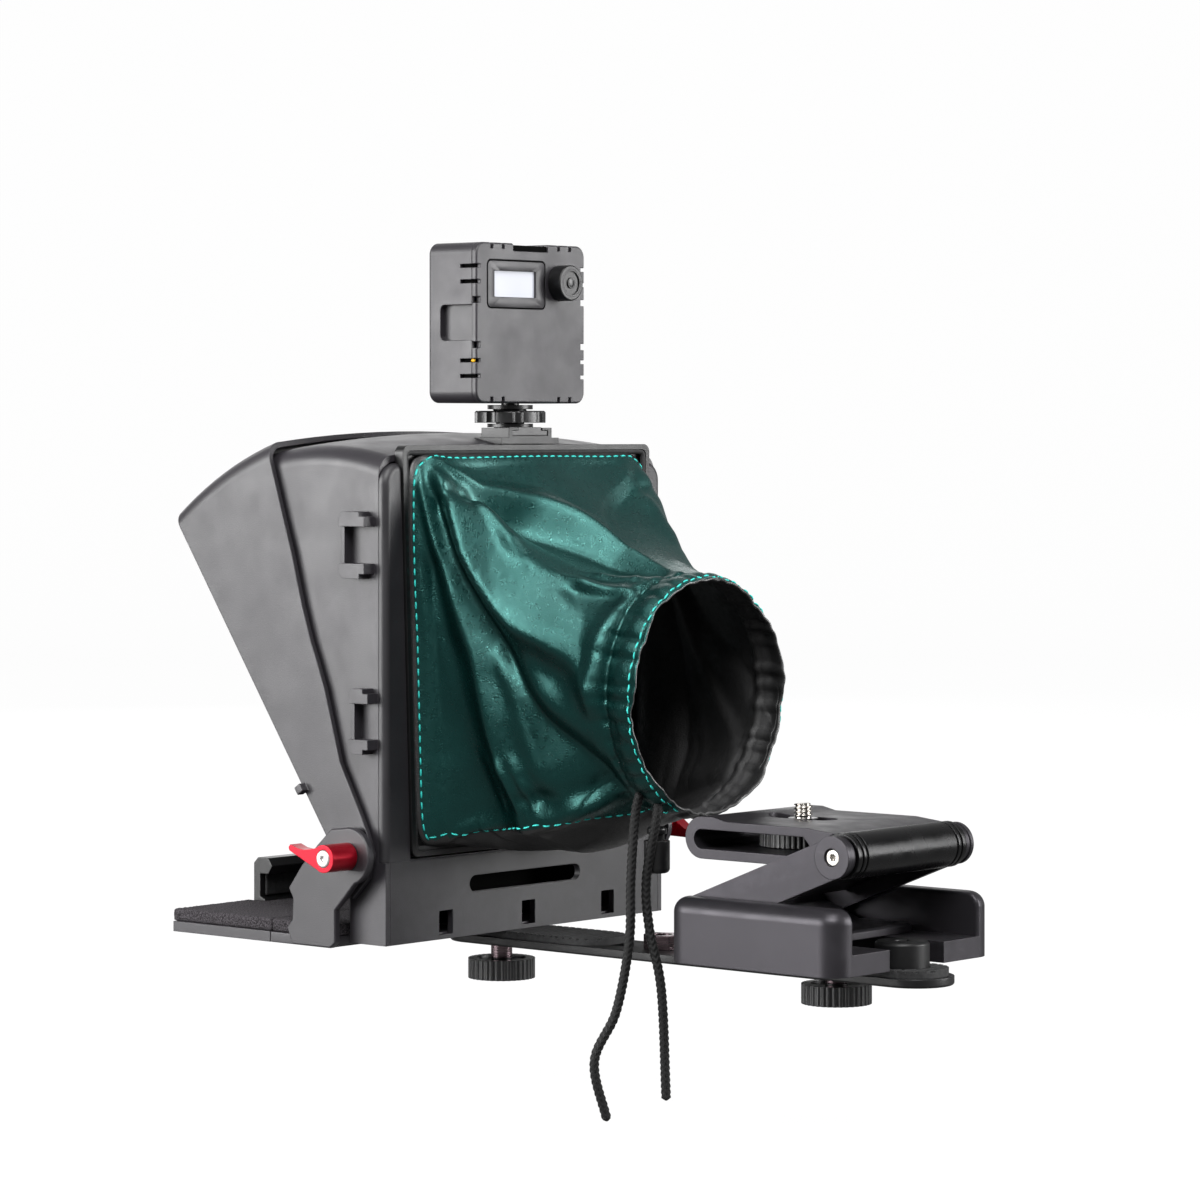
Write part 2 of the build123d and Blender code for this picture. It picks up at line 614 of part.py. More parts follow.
with BuildPart() as tray_plate:
    with BuildSketch(at_z(TRAY_Z0)):
        with Locations(TRAY_MID):
            Rectangle(2 * TRAY_X, TRAY_DEPTH)
        with Locations(NOTCH):
            Rectangle(*NOTCH_SIZE, mode=Mode.SUBTRACT)
        for x in (-GUIDE_X, GUIDE_X):
            with Locations((x, REAR_Y - 32.2)):
                Rectangle(6.4, 19.6, mode=Mode.SUBTRACT)
    extrude(amount=TRAY_THICK)
    # blind pockets for the extension's tongues, open at the front
    with BuildSketch(at_z(BASE_Z - 1.0 - RUN)):
        with Locations(*[(x, REAR_Y - 38.4) for x in (-TONGUE_X, TONGUE_X)]):
            Rectangle(14.2, 26)
    extrude(amount=2.0 + 2 * RUN, mode=Mode.SUBTRACT)
save(tray_plate, "tray_plate")

with BuildPart() as tray_foam:
    with BuildSketch(at_z(FOAM_Z0)):
        with Locations(TRAY_MID):
            Rectangle(2 * FOAM_X, TRAY_DEPTH)
        with Locations(NOTCH):
            Rectangle(*NOTCH_SIZE, mode=Mode.SUBTRACT)
        for x in (-GUIDE_X, GUIDE_X):
            with Locations((x, REAR_Y - 31.8)):
                Rectangle(7.4, 22.0, mode=Mode.SUBTRACT)
    extrude(amount=FOAM_THICK)
save(tray_foam, "tray_foam")

with BuildPart() as extension_plate:
    with BuildSketch(at_z(TRAY_Z0)):
        with Locations((0, REAR_Y - (TRAY_JOINT + TRAY_FRONT) / 2)):
            Rectangle(2 * TRAY_X, TRAY_FRONT - TRAY_JOINT)
    extrude(amount=TRAY_THICK)
    with BuildSketch(at_z(BASE_Z - 1.0)):
        with Locations(*[(x, REAR_Y - 41.0) for x in (-TONGUE_X, TONGUE_X)]):
            Rectangle(14, 19.6)
    extrude(amount=2.0)
save(extension_plate, "extension_plate")

with BuildPart() as extension_foam:
    with BuildSketch(at_z(FOAM_Z0)):
        with Locations((0, REAR_Y - (TRAY_JOINT + TRAY_FRONT + 1.0) / 2)):
            Rectangle(2 * FOAM_X, TRAY_FRONT - TRAY_JOINT + 1.0)
        with Locations((0, REAR_Y - 96)):
            Rectangle(78, 8.0, mode=Mode.SUBTRACT)
    extrude(amount=FOAM_THICK)
save(extension_foam, "extension_foam")

# jaws that hold the phone: hooked profiles run across the tray, with a pad on each
FRONT_JAW_SIDE = [(92.6, 1.8), (98.3, 1.8), (98.3, 19.4), (96.3, 21.4), (91.0, 21.4),
                  (89.0, 18.6), (91.0, 15.6), (95.0, 15.6), (95.0, 7.5), (92.6, 6.5)]
REAR_JAW_SIDE = [(22.4, 6.5), (25.6, 6.5), (25.6, 12.6), (29.0, 13.6), (30.0, 15.6),
                 (28.6, 17.2), (23.6, 17.2), (22.4, 16.0)]
FRONT_JAW_X, REAR_JAW_X = 38, 34     # half widths; each pad is 2 mm shorter per end

with BuildPart() as front_jaw:
    with BuildSketch(Plane.YZ):
        with BuildLine():
            Polyline(*side(FRONT_JAW_SIDE), close=True)
        make_face()
    extrude(amount=FRONT_JAW_X, both=True)
save(front_jaw, "front_jaw")

with BuildPart() as rear_jaw:
    with BuildSketch(Plane.YZ):
        with BuildLine():
            Polyline(*side(REAR_JAW_SIDE), close=True)
        make_face()
    extrude(amount=REAR_JAW_X, both=True)
    # feet that run in the tray's slots
    with BuildSketch(at_z(TRAY_Z0 + 0.4)):
        with Locations(*[(x, REAR_Y - 24.5) for x in (-GUIDE_X, GUIDE_X)]):
            Rectangle(5.6, 3.6)
    extrude(amount=9)
save(rear_jaw, "rear_jaw")


def build_jaw_pad(name, distance, height, size_z, half_x):
    """Thin pad centred at a distance in front of REAR_Y and a height above BASE_Z."""
    with BuildPart() as pad:
        with BuildSketch(at_x(-half_x)):
            with Locations((REAR_Y - distance, BASE_Z + height)):
                Rectangle(1.2, size_z)
        extrude(amount=2 * half_x)
    save(pad, name)


build_jaw_pad("front_jaw_pad", distance=94.4, height=11.6, size_z=7.8, half_x=FRONT_JAW_X - 2)
build_jaw_pad("rear_jaw_pad", distance=26.9, height=9.2, size_z=5.0, half_x=REAR_JAW_X - 2)

ARM_X0, ARM_X1 = TRAY_X, 80.0        # inner and outer faces of the arms
ARM_SIDE = [(18.7, 39.2), (13.4, 39.7), (8.2, 38.2), (3.4, 32), (3.4, 25.8), (11.5, 16.9),
            (16.7, 11.7), (16.7, 0.6), (18.0, -0.6), (19.2, -1.4), (37.0, -1.4), (38.4, 0.9),
            (39.8, 4.4), (37.3, 7.1), (37, 14.4), (39, 17.8), (32.8, 25.9), (25.4, 33.3)]


def build_tray_arm(name, sign):
    """Arm from the pivot down to the tray, with its outer face chamfered."""
    with BuildPart() as arm:
        with BuildSketch(at_x(min(sign * ARM_X0, sign * ARM_X1))):
            with BuildLine():
                Polyline(*side(ARM_SIDE), close=True)
            make_face()
            with Locations(PIVOT):
                Circle(9.7)
                Circle(BORE_R, mode=Mode.SUBTRACT)
        extrude(amount=ARM_X1 - ARM_X0)
        outer_face = arm.faces().sort_by(Axis.X)[-1 if sign > 0 else 0]
        chamfer(outer_face.outer_wire().edges(), 0.45)
    save(arm, name)


build_tray_arm("tray_arm_right", 1)
build_tray_arm("tray_arm_left", -1)

# ---------------------------------------------------------------- locking levers
HUB_X0, HUB_X1 = ARM_X1 + 0.3, 92.0
LEVER_THICK = 5.2
CAP_RECESS, CAP_PROUD = 1.0, 0.5
# lever outline: (distance along the lever from the pivot, distance up from it)
LEVER = [(1.2, -4.5), (15.9, 1.9), (16.4, 3.0), (15.5, 4.0), (12.4, 2.9), (9.2, 2.5),
         (6.0, 2.9), (3.2, 3.5)]
LEFT_DROOP = math.radians(25)        # the left lever points back and is turned down
COS_DROOP, SIN_DROOP = math.cos(LEFT_DROOP), math.sin(LEFT_DROOP)
RIGHT_LEVER = [(PIVOT[0] - along, PIVOT[1] + up) for along, up in LEVER]
LEFT_LEVER = [(PIVOT[0] + along * COS_DROOP + up * SIN_DROOP,
               PIVOT[1] - along * SIN_DROOP + up * COS_DROOP) for along, up in LEVER]


def build_lever(name, sign, outline, tip_fillet=0):
    """Hub over the pivot bolt with a flat lever at its outer end."""
    with BuildPart() as lever:
        with BuildSketch(at_x(min(sign * HUB_X0, sign * HUB_X1))):
            with Locations(PIVOT):
                Circle(4.7)
        extrude(amount=HUB_X1 - HUB_X0)
        with BuildSketch(at_x(min(sign * HUB_X1, sign * (HUB_X1 - LEVER_THICK)))):
            with BuildLine():
                Polyline(*outline, close=True)
            make_face()
        extrude(amount=LEVER_THICK)
        if tip_fillet:
            long_edges = lever.edges().filter_by(GeomType.LINE).filter_by(Axis.X)
            fillet(long_edges.group_by(Axis.Y)[0], tip_fillet)
        with BuildSketch(at_x(sign * ARM_X1)):
            with Locations(PIVOT):
                Circle(BORE_R)
        extrude(amount=sign * 10.4, mode=Mode.SUBTRACT)
        # recess for the cap
        with BuildSketch(at_x(sign * HUB_X1)):
            with Locations(PIVOT):
                Circle(3.1)
        extrude(amount=-sign * CAP_RECESS, mode=Mode.SUBTRACT)
    save(lever, name)


def build_lever_cap(name, sign):
    """Round cap in the hub's recess, with a hexagon socket."""
    with BuildPart() as cap:
        with BuildSketch(at_x(sign * (HUB_X1 - CAP_RECESS))):
            with Locations(PIVOT):
                Circle(3.0)
        extrude(amount=sign * (CAP_RECESS + CAP_PROUD))
        chamfer(cap.faces().sort_by(Axis.X)[-1 if sign > 0 else 0].edges(), 0.4)
        with BuildSketch(at_x(sign * (HUB_X1 + CAP_PROUD))):
            with Locations(PIVOT):
                RegularPolygon(1.1, 6)
        extrude(amount=-sign * 1.0, mode=Mode.SUBTRACT)
    save(cap, name)


build_lever("lever_right", 1, RIGHT_LEVER, tip_fillet=0.6)
build_lever_cap("lever_cap_right", 1)
build_lever("lever_left", -1, LEFT_LEVER)
build_lever_cap("lever_cap_left", -1)

# ---------------------------------------------------------------- camera stage
STAGE_X = 43.0               # half width
STAGE_Y0, STAGE_Y1, STAGE_TOP = 36.7, 108.0, 27.0
STAGE_FLOOR, STAGE_WALL = 7.0, 9.3
STAGE_LENGTH = STAGE_Y1 - STAGE_Y0

with BuildPart() as camera_stage:
    with BuildSketch(at_z(BASE_Z)):
        with Locations((0, (STAGE_Y0 + STAGE_Y1) / 2)):
            RectangleRounded(2 * STAGE_X, STAGE_LENGTH, 8)
    extrude(amount=STAGE_TOP - BASE_Z)
    # channel between the side walls, open at both ends
    with BuildSketch(Plane.XZ.offset(-STAGE_Y0 + 1)):
        with Locations((0, BASE_Z + STAGE_FLOOR + 20)):
            Rectangle(2 * (STAGE_X - STAGE_WALL), 40)
    extrude(amount=-(STAGE_LENGTH + 2), mode=Mode.SUBTRACT)
    # notch in the floor around the rail post
    with BuildSketch(at_z(BASE_Z)):
        with Locations((0, 104)):
            SlotOverall(70, 29.4, rotation=90)
    extrude(amount=STAGE_FLOOR, mode=Mode.SUBTRACT)
    wall_ends = camera_stage.edges().filter_by(Axis.X).filter_by(
        lambda e: e.center().Z > STAGE_TOP - 0.2)
    fillet(wall_ends, 5)
    top_faces = camera_stage.faces().filter_by(Axis.Z).group_by(Axis.Z)[-1]
    fillet(top_faces.edges().filter_by(Axis.Y), 1.2)
    with BuildSketch(at_z(BASE_Z)):
        with Locations(REAR_SCREW):
            Circle(BORE_R)
    extrude(amount=5.5, mode=Mode.SUBTRACT)
save(camera_stage, "camera_stage")

# ---------------------------------------------------------------- folding tilt head
LOW_Y, LOW_Z = LOW_HINGE = (40.5, 19.7)
UP_Y, UP_Z = UP_HINGE = (99.2, 43.0)
PIN_R = 2.5
HEAD_X = 33.0                # half width over the links
LOOP_X = 29.4                # half width of the base and top plate
TILT_FLOOR_Z = BASE_Z + STAGE_FLOOR + 0.1

with BuildPart() as tilt_base:
    with BuildSketch(at_x(-LOOP_X)):
        with BuildLine():
            Polyline((LOW_Y, TILT_FLOOR_Z), (84.0, TILT_FLOOR_Z), (84.0, 14.8), (83.0, 15.6),
                     (62.0, 15.6), (54.0, 19.0), (LOW_Y, 22.4), close=True)
        make_face()
        with Locations(LOW_HINGE):
            Circle(7.0)
        with Locations(LOW_HINGE):
            Circle(PIN_R + RUN, mode=Mode.SUBTRACT)
    extrude(amount=2 * LOOP_X)
save(tilt_base, "tilt_base")

LINK_R, LINK_THICK = 6.6, 2.7
LINK_X = LOOP_X + 0.3        # inner face of a link
link_y, link_z = UP_Y - LOW_Y, UP_Z - LOW_Z
LINK_LENGTH = math.hypot(link_y, link_z)
LINK_ANGLE = math.degrees(math.atan2(link_z, link_y))
unit_y, unit_z = link_y / LINK_LENGTH, link_z / LINK_LENGTH
# web between the links: (distance along the link, offset across it)
WEB = [(16.0, -1.2), (46.0, -1.2), (46.0, 1.0), (16.0, 1.0)]
WEB_POINTS = [(LOW_Y + unit_y * along - unit_z * across, LOW_Z + unit_z * along + unit_y * across)
              for along, across in WEB]

with BuildPart() as tilt_link:
    for x in (-LINK_X - LINK_THICK, LINK_X):
        with BuildSketch(at_x(x)):
            with Locations((LOW_Y + link_y / 2, LOW_Z + link_z / 2)):
                SlotCenterToCenter(LINK_LENGTH, 2 * LINK_R, rotation=LINK_ANGLE)
            for hinge in (LOW_HINGE, UP_HINGE):
                with Locations(hinge):
                    Circle(PIN_R + RUN, mode=Mode.SUBTRACT)
        extrude(amount=LINK_THICK)
    with BuildSketch(at_x(-LOOP_X - 1)):
        with BuildLine():
            Polyline(*WEB_POINTS, close=True)
        make_face()
    extrude(amount=2 * LOOP_X + 2)
save(tilt_link, "tilt_link")

with BuildPart() as lower_hinge_pins:
    for sign in LEFT_RIGHT:
        with BuildSketch(outward(sign, 20.0, LOW_HINGE)):
            Circle(PIN_R)
        extrude(amount=12.9)
save(lower_hinge_pins, "lower_hinge_pins")

# top plate: a flat hollow loop, extruded along X, that runs into the rear barrel
TOP_Z0, TOP_Z1, TOP_Y0 = 38.7, 52.6, 34.5
TOP_HEIGHT = TOP_Z1 - TOP_Z0
NOSE_R = TOP_HEIGHT / 2
NOSE_Y = TOP_Y0 + NOSE_R
WHEEL = (0, 61.0)            # (X, Y) of the camera screw
BARREL_R = 7.6

with BuildPart() as tilt_top:
    with BuildSketch(at_x(-LOOP_X)):
        with Locations((NOSE_Y, (TOP_Z0 + TOP_Z1) / 2)):
            Circle(NOSE_R)
        with BuildLine():
            Polyline((NOSE_Y, TOP_Z0), (84.5, TOP_Z0), (UP_Y, UP_Z - 7.0), (UP_Y, UP_Z + 7.0),
                     (86.0, TOP_Z1 - 1.2), (52.0, TOP_Z1 - 1.2), (46.5, TOP_Z1),
                     (NOSE_Y, TOP_Z1), close=True)
        make_face()
        with BuildLine():
            Polyline((NOSE_Y, TOP_Z0 + 3.3), (84.0, TOP_Z0 + 3.3), (87.0, 45.4),
                     (84.0, TOP_Z1 - 4.2), (NOSE_Y, TOP_Z1 - 4.2), close=True)
        make_face(mode=Mode.SUBTRACT)
        with Locations((NOSE_Y, (TOP_Z0 + TOP_Z1 - 0.9) / 2)):
            Circle((TOP_HEIGHT - 7.5) / 2, mode=Mode.SUBTRACT)
        with Locations(UP_HINGE):
            Circle(BARREL_R, mode=Mode.SUBTRACT)
    extrude(amount=2 * LOOP_X)
    # slot for the camera screw through the top band
    with BuildSketch(at_z(TOP_Z1 - 6)):
        with Locations(WHEEL):
            SlotOverall(26.4, 10.4, rotation=90)
    extrude(amount=8, mode=Mode.SUBTRACT)
save(tilt_top, "tilt_top")

BARREL_GROOVE = 0.7          # width of the two ring grooves near each end
with BuildPart() as hinge_barrel:
    with BuildSketch(at_x(-LOOP_X)):
        with Locations(UP_HINGE):
            Circle(BARREL_R)
            Circle(PIN_R + RUN, mode=Mode.SUBTRACT)
    extrude(amount=2 * LOOP_X)
    for inset in (2.2, 4.6):
        for x in (-LOOP_X + inset, LOOP_X - inset - BARREL_GROOVE):
            with BuildSketch(at_x(x)):
                with Locations(UP_HINGE):
                    Circle(9)
                    Circle(6.7, mode=Mode.SUBTRACT)
            extrude(amount=BARREL_GROOVE, mode=Mode.SUBTRACT)
save(hinge_barrel, "hinge_barrel")

with BuildPart() as barrel_caps:
    for sign in LEFT_RIGHT:
        with BuildSketch(outward(sign, HEAD_X - 0.5, UP_HINGE)):
            Circle(7.0)
            Circle(2.9, mode=Mode.SUBTRACT)
        extrude(amount=1.6)
        with BuildSketch(outward(sign, HEAD_X - 0.5, UP_HINGE)):
            Circle(2.9)
            Circle(PIN_R, mode=Mode.SUBTRACT)
        extrude(amount=0.5)
save(barrel_caps, "barrel_caps")

BARREL_PIN_X = HEAD_X + 0.4
with BuildPart() as barrel_pin:
    with BuildSketch(at_x(-BARREL_PIN_X)):
        with Locations(UP_HINGE):
            Circle(PIN_R)
    extrude(amount=2 * BARREL_PIN_X)
    for sign in LEFT_RIGHT:
        with BuildSketch(outward(sign, BARREL_PIN_X, UP_HINGE)):
            RegularPolygon(1.25, 6)
        extrude(amount=-1.4, mode=Mode.SUBTRACT)
save(barrel_pin, "barrel_pin")

# camera screw: slider in the slot, knurled wheel inside the loop, neck and threaded stud
NECK_R = 2.6
WHEEL_Z0 = TOP_Z0 + 3.6
STUD_Z = TOP_Z1 - 1.0
with BuildPart() as camera_slider:
    with BuildSketch(at_z(TOP_Z1 - 4.4)):
        with Locations(WHEEL):
            Circle(5.1)
            Circle(NECK_R + RUN, mode=Mode.SUBTRACT)
    extrude(amount=3.2)
save(camera_slider, "camera_slider")

with BuildPart() as camera_wheel:
    with BuildSketch(at_z(WHEEL_Z0)):
        with Locations(WHEEL):
            Circle(14.6)
            Circle(NECK_R, mode=Mode.SUBTRACT)
            with PolarLocations(15.0, 48):
                Circle(0.7, mode=Mode.SUBTRACT)
    extrude(amount=5.6)
save(camera_wheel, "camera_wheel")

with BuildPart() as camera_stud:
    with BuildSketch(at_z(WHEEL_Z0)):
        with Locations(WHEEL):
            Circle(NECK_R)
    extrude(amount=STUD_Z - WHEEL_Z0)
    with BuildSketch(at_z(STUD_Z)):
        with Locations(WHEEL):
            Circle(TRIPOD_R)
    extrude(amount=4.6)
    chamfer(camera_stud.faces().sort_by(Axis.Z)[-1].edges(), 0.5)
save(camera_stud, "camera_stud")

# ---------------------------------------------------------------- cold shoe
SHOE_BASE_Z = BASE_Z + 166
SHOE_Z = BASE_Z + 172.7      # floor of the shoe's slot
SHOE_TOP = SHOE_BASE_Z + 9.5
SHOE = (0, -66.9)
SHOE_SLOT = (0, -65.3)       # the slot is open at the rear
SHOE_DEPTH, SLOT_DEPTH = 13.0, 15.0

with BuildPart() as cold_shoe:
    with BuildSketch(at_z(SHOE_BASE_Z)):
        with Locations(SHOE):
            Rectangle(22.5, SHOE_DEPTH)
    extrude(amount=SHOE_TOP - SHOE_BASE_Z)
    with BuildSketch(at_z(SHOE_BASE_Z)):
        with Locations(SHOE):
            Rectangle(30, SHOE_DEPTH)
    extrude(amount=6.0)
    # wide slot under the lips, then the gap between them
    for width, height in ((18.6, 1.9), (12.7, 5)):
        with BuildSketch(at_z(SHOE_Z)):
            with Locations(SHOE_SLOT):
                Rectangle(width, SLOT_DEPTH)
        extrude(amount=height, mode=Mode.SUBTRACT)
    # underside follows the shell roof
    walls, crown = arch(SHELL_X, 0, DOME_SPRING, DOME_R)
    with BuildSketch(DOME_PLANE):
        with BuildLine():
            Polyline(*walls)
            ThreePointArc(*crown)
        make_face()
    revolve(axis=DOME_AXIS, mode=Mode.SUBTRACT)
    # clear of the rim and the shell's rear edge
    with BuildSketch(at_z(BASE_Z + 160)):
        with Locations((0, REAR_Y + 1.0)):
            Rectangle(60, 8.4)
    extrude(amount=9.8, mode=Mode.SUBTRACT)
save(cold_shoe, "cold_shoe")

# ---------------------------------------------------------------- LED light
LED_AXIS = (0, -70.0)        # (X, Y) of the mounting thread
FOOT = (0, -66.5)
FOOT_DEPTH = 11.6
FOOT_Z = SHOE_Z + 0.1
STEM_R = 5.0
# round steps of the foot, bottom up: (height above the shoe's top, radius, bore, thickness)
FOOT_STEPS = [(0.15, 8.1, 0, 1.3), (0.15, STEM_R, 0, 7.2), (6.5, 8.0, STEM_R, 1.5),
              (7.3, TRIPOD_R, 0, 8.4)]

with BuildPart() as shoe_foot:
    for width, height in ((18.2, 1.7), (12.0, 2.9)):
        with BuildSketch(at_z(FOOT_Z)):
            with Locations(FOOT):
                Rectangle(width, FOOT_DEPTH)
        extrude(amount=height)
    for rise, radius, bore, height in FOOT_STEPS:
        with BuildSketch(at_z(SHOE_TOP + rise)):
            with Locations(LED_AXIS):
                Circle(radius)
                if bore:
                    Circle(bore, mode=Mode.SUBTRACT)
        extrude(amount=height)
save(shoe_foot, "shoe_foot")

with BuildPart() as lock_ring:
    with BuildSketch(at_z(SHOE_TOP + 1.75)):
        with Locations(LED_AXIS):
            Circle(12.5)
            with PolarLocations(13.6, 8, start_angle=10):
                Circle(2.4, mode=Mode.SUBTRACT)
            Circle(STEM_R + RUN, mode=Mode.SUBTRACT)
    extrude(amount=4.2)
    chamfer(lock_ring.faces().sort_by(Axis.Z)[-1].outer_wire().edges(), 0.5)
save(lock_ring, "lock_ring")

LED_X = 28.5                 # half width
LED_FRONT_Y, LED_REAR_Y = -83.0, -60.0
LED_Z0, LED_Z1 = 189.6, 245.4
LED_WIDTH, LED_HEIGHT, LED_MID_Z = 2 * LED_X, LED_Z1 - LED_Z0, (LED_Z0 + LED_Z1) / 2
LED_SPLIT_Y = LED_REAR_Y - 2.2       # joint between the front shell and the back cover
LED_DEPTH = LED_SPLIT_Y - LED_FRONT_Y
LED_FACE = 2.4               # thickness of the front face
LED_CORNER_R = 4
VENT = 1.3                   # width of the vent slots
VENT_XS = (-20.5, -14.6, 14.6, 20.5)         # slots in the top and bottom
VENT_ZS = (19.6, 14.2, -13.2, -18.6)         # slots in the sides, from LED_MID_Z
TOP_NOTCH_X, TOP_NOTCH_WIDTH = 0.3, 18.2

with BuildPart() as led_front_shell:
    with BuildSketch(at_y(LED_SPLIT_Y, z=LED_MID_Z)):
        RectangleRounded(LED_WIDTH, LED_HEIGHT, LED_CORNER_R)
    extrude(amount=LED_DEPTH)
    fillet(led_front_shell.faces().sort_by(Axis.Y)[0].outer_wire().edges(), 1.5)
    with BuildSketch(at_y(LED_SPLIT_Y, z=LED_MID_Z)):
        RectangleRounded(LED_WIDTH - 3.2, LED_HEIGHT - 3.2, 2.6)
    extrude(amount=LED_DEPTH - LED_FACE, mode=Mode.SUBTRACT)
    with BuildSketch(at_y(LED_FRONT_Y + LED_FACE, z=LED_MID_Z)):
        RectangleRounded(LED_WIDTH - 9, LED_HEIGHT - 9, 2.5)
    extrude(amount=3, mode=Mode.SUBTRACT)
    # boss with the thread the adaptor screws into
    with BuildSketch(at_z(LED_Z0 + 0.2)):
        with Locations(LED_AXIS):
            Circle(5.6)
    extrude(amount=8.4)
    with BuildSketch(at_z(LED_Z0)):
        with Locations(LED_AXIS):
            Circle(TRIPOD_R + RUN)
    extrude(amount=8.6, mode=Mode.SUBTRACT)
    # finger recess, open to the back, and vent slots on both sides
    for sign in LEFT_RIGHT:
        with BuildSketch(at_x(sign * (LED_X - 1.0))):
            with Locations((-70.3, LED_MID_Z)):
                Rectangle(16.2, 15.0)
        extrude(amount=-sign * 2.3)
        with BuildSketch(at_x(sign * LED_X)):
            with Locations((-67.0, LED_MID_Z)):
                RectangleRounded(20.0, 12.4, 1.8)
        extrude(amount=-sign * 2.4, mode=Mode.SUBTRACT)
        with BuildSketch(at_x(sign * LED_X)):
            with Locations(*[(-64.9, LED_MID_Z + z) for z in VENT_ZS]):
                Rectangle(5.4, VENT)
        extrude(amount=-sign * 2.5, mode=Mode.SUBTRACT)
    for depth, z in ((-2.5, LED_Z1), (2.5, LED_Z0)):
        with BuildSketch(at_z(z)):
            with Locations(*[(x, -64.0) for x in VENT_XS]):
                Rectangle(VENT, 3.6)
        extrude(amount=depth, mode=Mode.SUBTRACT)
    # shallow channel along the top
    with BuildSketch(at_z(LED_Z1)):
        with Locations((TOP_NOTCH_X, -70.0)):
            Rectangle(TOP_NOTCH_WIDTH, 40.0)
    extrude(amount=-0.6, mode=Mode.SUBTRACT)
save(led_front_shell, "led_front_shell")

SCREEN_X, SCREEN_Z = 7.75, BASE_Z + 225.5    # centre of the bezel
WINDOW_DX, WINDOW_DZ = 0.6, 0.1              # screen window from the bezel's centre
DIAL_X, DIAL_Z = -15.0, BASE_Z + 226.5
DIAL_R, DIAL_STEM_R = 6.3, 2.5
COVER_THICK = 2.15
with BuildPart() as led_back_cover:
    with BuildSketch(at_y(LED_REAR_Y, z=LED_MID_Z)):
        RectangleRounded(LED_WIDTH, LED_HEIGHT, LED_CORNER_R)
    extrude(amount=COVER_THICK)
    chamfer(led_back_cover.faces().sort_by(Axis.Y)[-1].outer_wire().edges(), 0.5)
    # screen bezel recess and window
    with BuildSketch(at_y(LED_REAR_Y, SCREEN_X, SCREEN_Z)):
        RectangleRounded(30.5, 17, 2)
    extrude(amount=0.6, mode=Mode.SUBTRACT)
    with BuildSketch(at_y(LED_REAR_Y, SCREEN_X, SCREEN_Z)):
        with Locations((WINDOW_DX, WINDOW_DZ)):
            RectangleRounded(22.2, 9.8, 0.8)
    extrude(amount=COVER_THICK, mode=Mode.SUBTRACT)
    with BuildSketch(at_y(LED_REAR_Y, DIAL_X, DIAL_Z)):
        Circle(DIAL_STEM_R + RUN)
    extrude(amount=COVER_THICK, mode=Mode.SUBTRACT)
    # notches in the edges: vents, top channel, and ends of the finger recesses
    edge_x, edge_z = LED_X - 0.8, LED_HEIGHT / 2 - 0.8
    with BuildSketch(at_y(LED_REAR_Y, z=LED_MID_Z)):
        with Locations(*[(x, z) for x in VENT_XS for z in (edge_z, -edge_z)]):
            Rectangle(VENT, 2.6)
        with Locations(*[(x, z) for x in (-edge_x, edge_x) for z in VENT_ZS]):
            Rectangle(2.6, VENT)
        with Locations((TOP_NOTCH_X, LED_HEIGHT / 2)):
            Rectangle(TOP_NOTCH_WIDTH, 5.4)
        with Locations(*[(x, z) for x in (-edge_x, edge_x) for z in (7.8, -7.8)]):
            Rectangle(2.6, 2.2)
    extrude(amount=COVER_THICK, mode=Mode.SUBTRACT)
save(led_back_cover, "led_back_cover")

with BuildPart() as led_screen:
    with BuildSketch(at_y(LED_REAR_Y - 0.9, SCREEN_X + WINDOW_DX, SCREEN_Z + WINDOW_DZ)):
        RectangleRounded(22.0, 9.6, 0.7)
    extrude(amount=1.1)
save(led_screen, "led_screen")

with BuildPart() as led_diffuser:
    with BuildSketch(at_y(LED_FRONT_Y + 2.45, z=LED_MID_Z)):
        RectangleRounded(LED_WIDTH - 9.2, LED_HEIGHT - 9.2, 2.4)
    extrude(amount=2.0)
    # flange behind the front face, notched around the thread boss
    with BuildSketch(at_y(LED_FRONT_Y + 3.6, z=LED_MID_Z)):
        RectangleRounded(LED_WIDTH - 4.0, LED_HEIGHT - 4.0, 2.2)
        with Locations((0, -LED_HEIGHT / 2 + 5)):
            Rectangle(13, 12, mode=Mode.SUBTRACT)
    extrude(amount=1.15)
save(led_diffuser, "led_diffuser")

BOARD_Y, BOARD_THICK = -75.5, 1.2
with BuildPart() as led_board:
    with BuildSketch(at_y(BOARD_Y, z=LED_MID_Z + 5)):
        Rectangle(50, 40)
    extrude(amount=BOARD_THICK)
    with BuildSketch(at_y(BOARD_Y - BOARD_THICK, z=LED_MID_Z + 5)):
        with GridLocations(5.6, 5.6, 8, 6):
            Rectangle(2.8, 2.8)
    extrude(amount=0.8)
save(led_board, "led_board")

with BuildPart() as led_battery:
    with BuildSketch(at_y(-67.5, z=LED_MID_Z - 1)):
        RectangleRounded(40, 24, 2)
    extrude(amount=6.5)
save(led_battery, "led_battery")

DIAL_REAR_Y = LED_REAR_Y + 5.7
with BuildPart() as led_dial:
    with BuildSketch(at_y(DIAL_REAR_Y, DIAL_X, DIAL_Z)):
        Circle(DIAL_R)
    extrude(amount=5.5)
    fillet(led_dial.faces().sort_by(Axis.Y)[-1].edges(), 0.6)
    # ring recess in the rear face
    with BuildSketch(at_y(DIAL_REAR_Y, DIAL_X, DIAL_Z)):
        Circle(4.2)
        Circle(1.9, mode=Mode.SUBTRACT)
    extrude(amount=0.5, mode=Mode.SUBTRACT)
    with BuildSketch(at_y(LED_REAR_Y + 0.3, DIAL_X, DIAL_Z)):
        Circle(DIAL_STEM_R)
    extrude(amount=4.4)
save(led_dial, "led_dial")
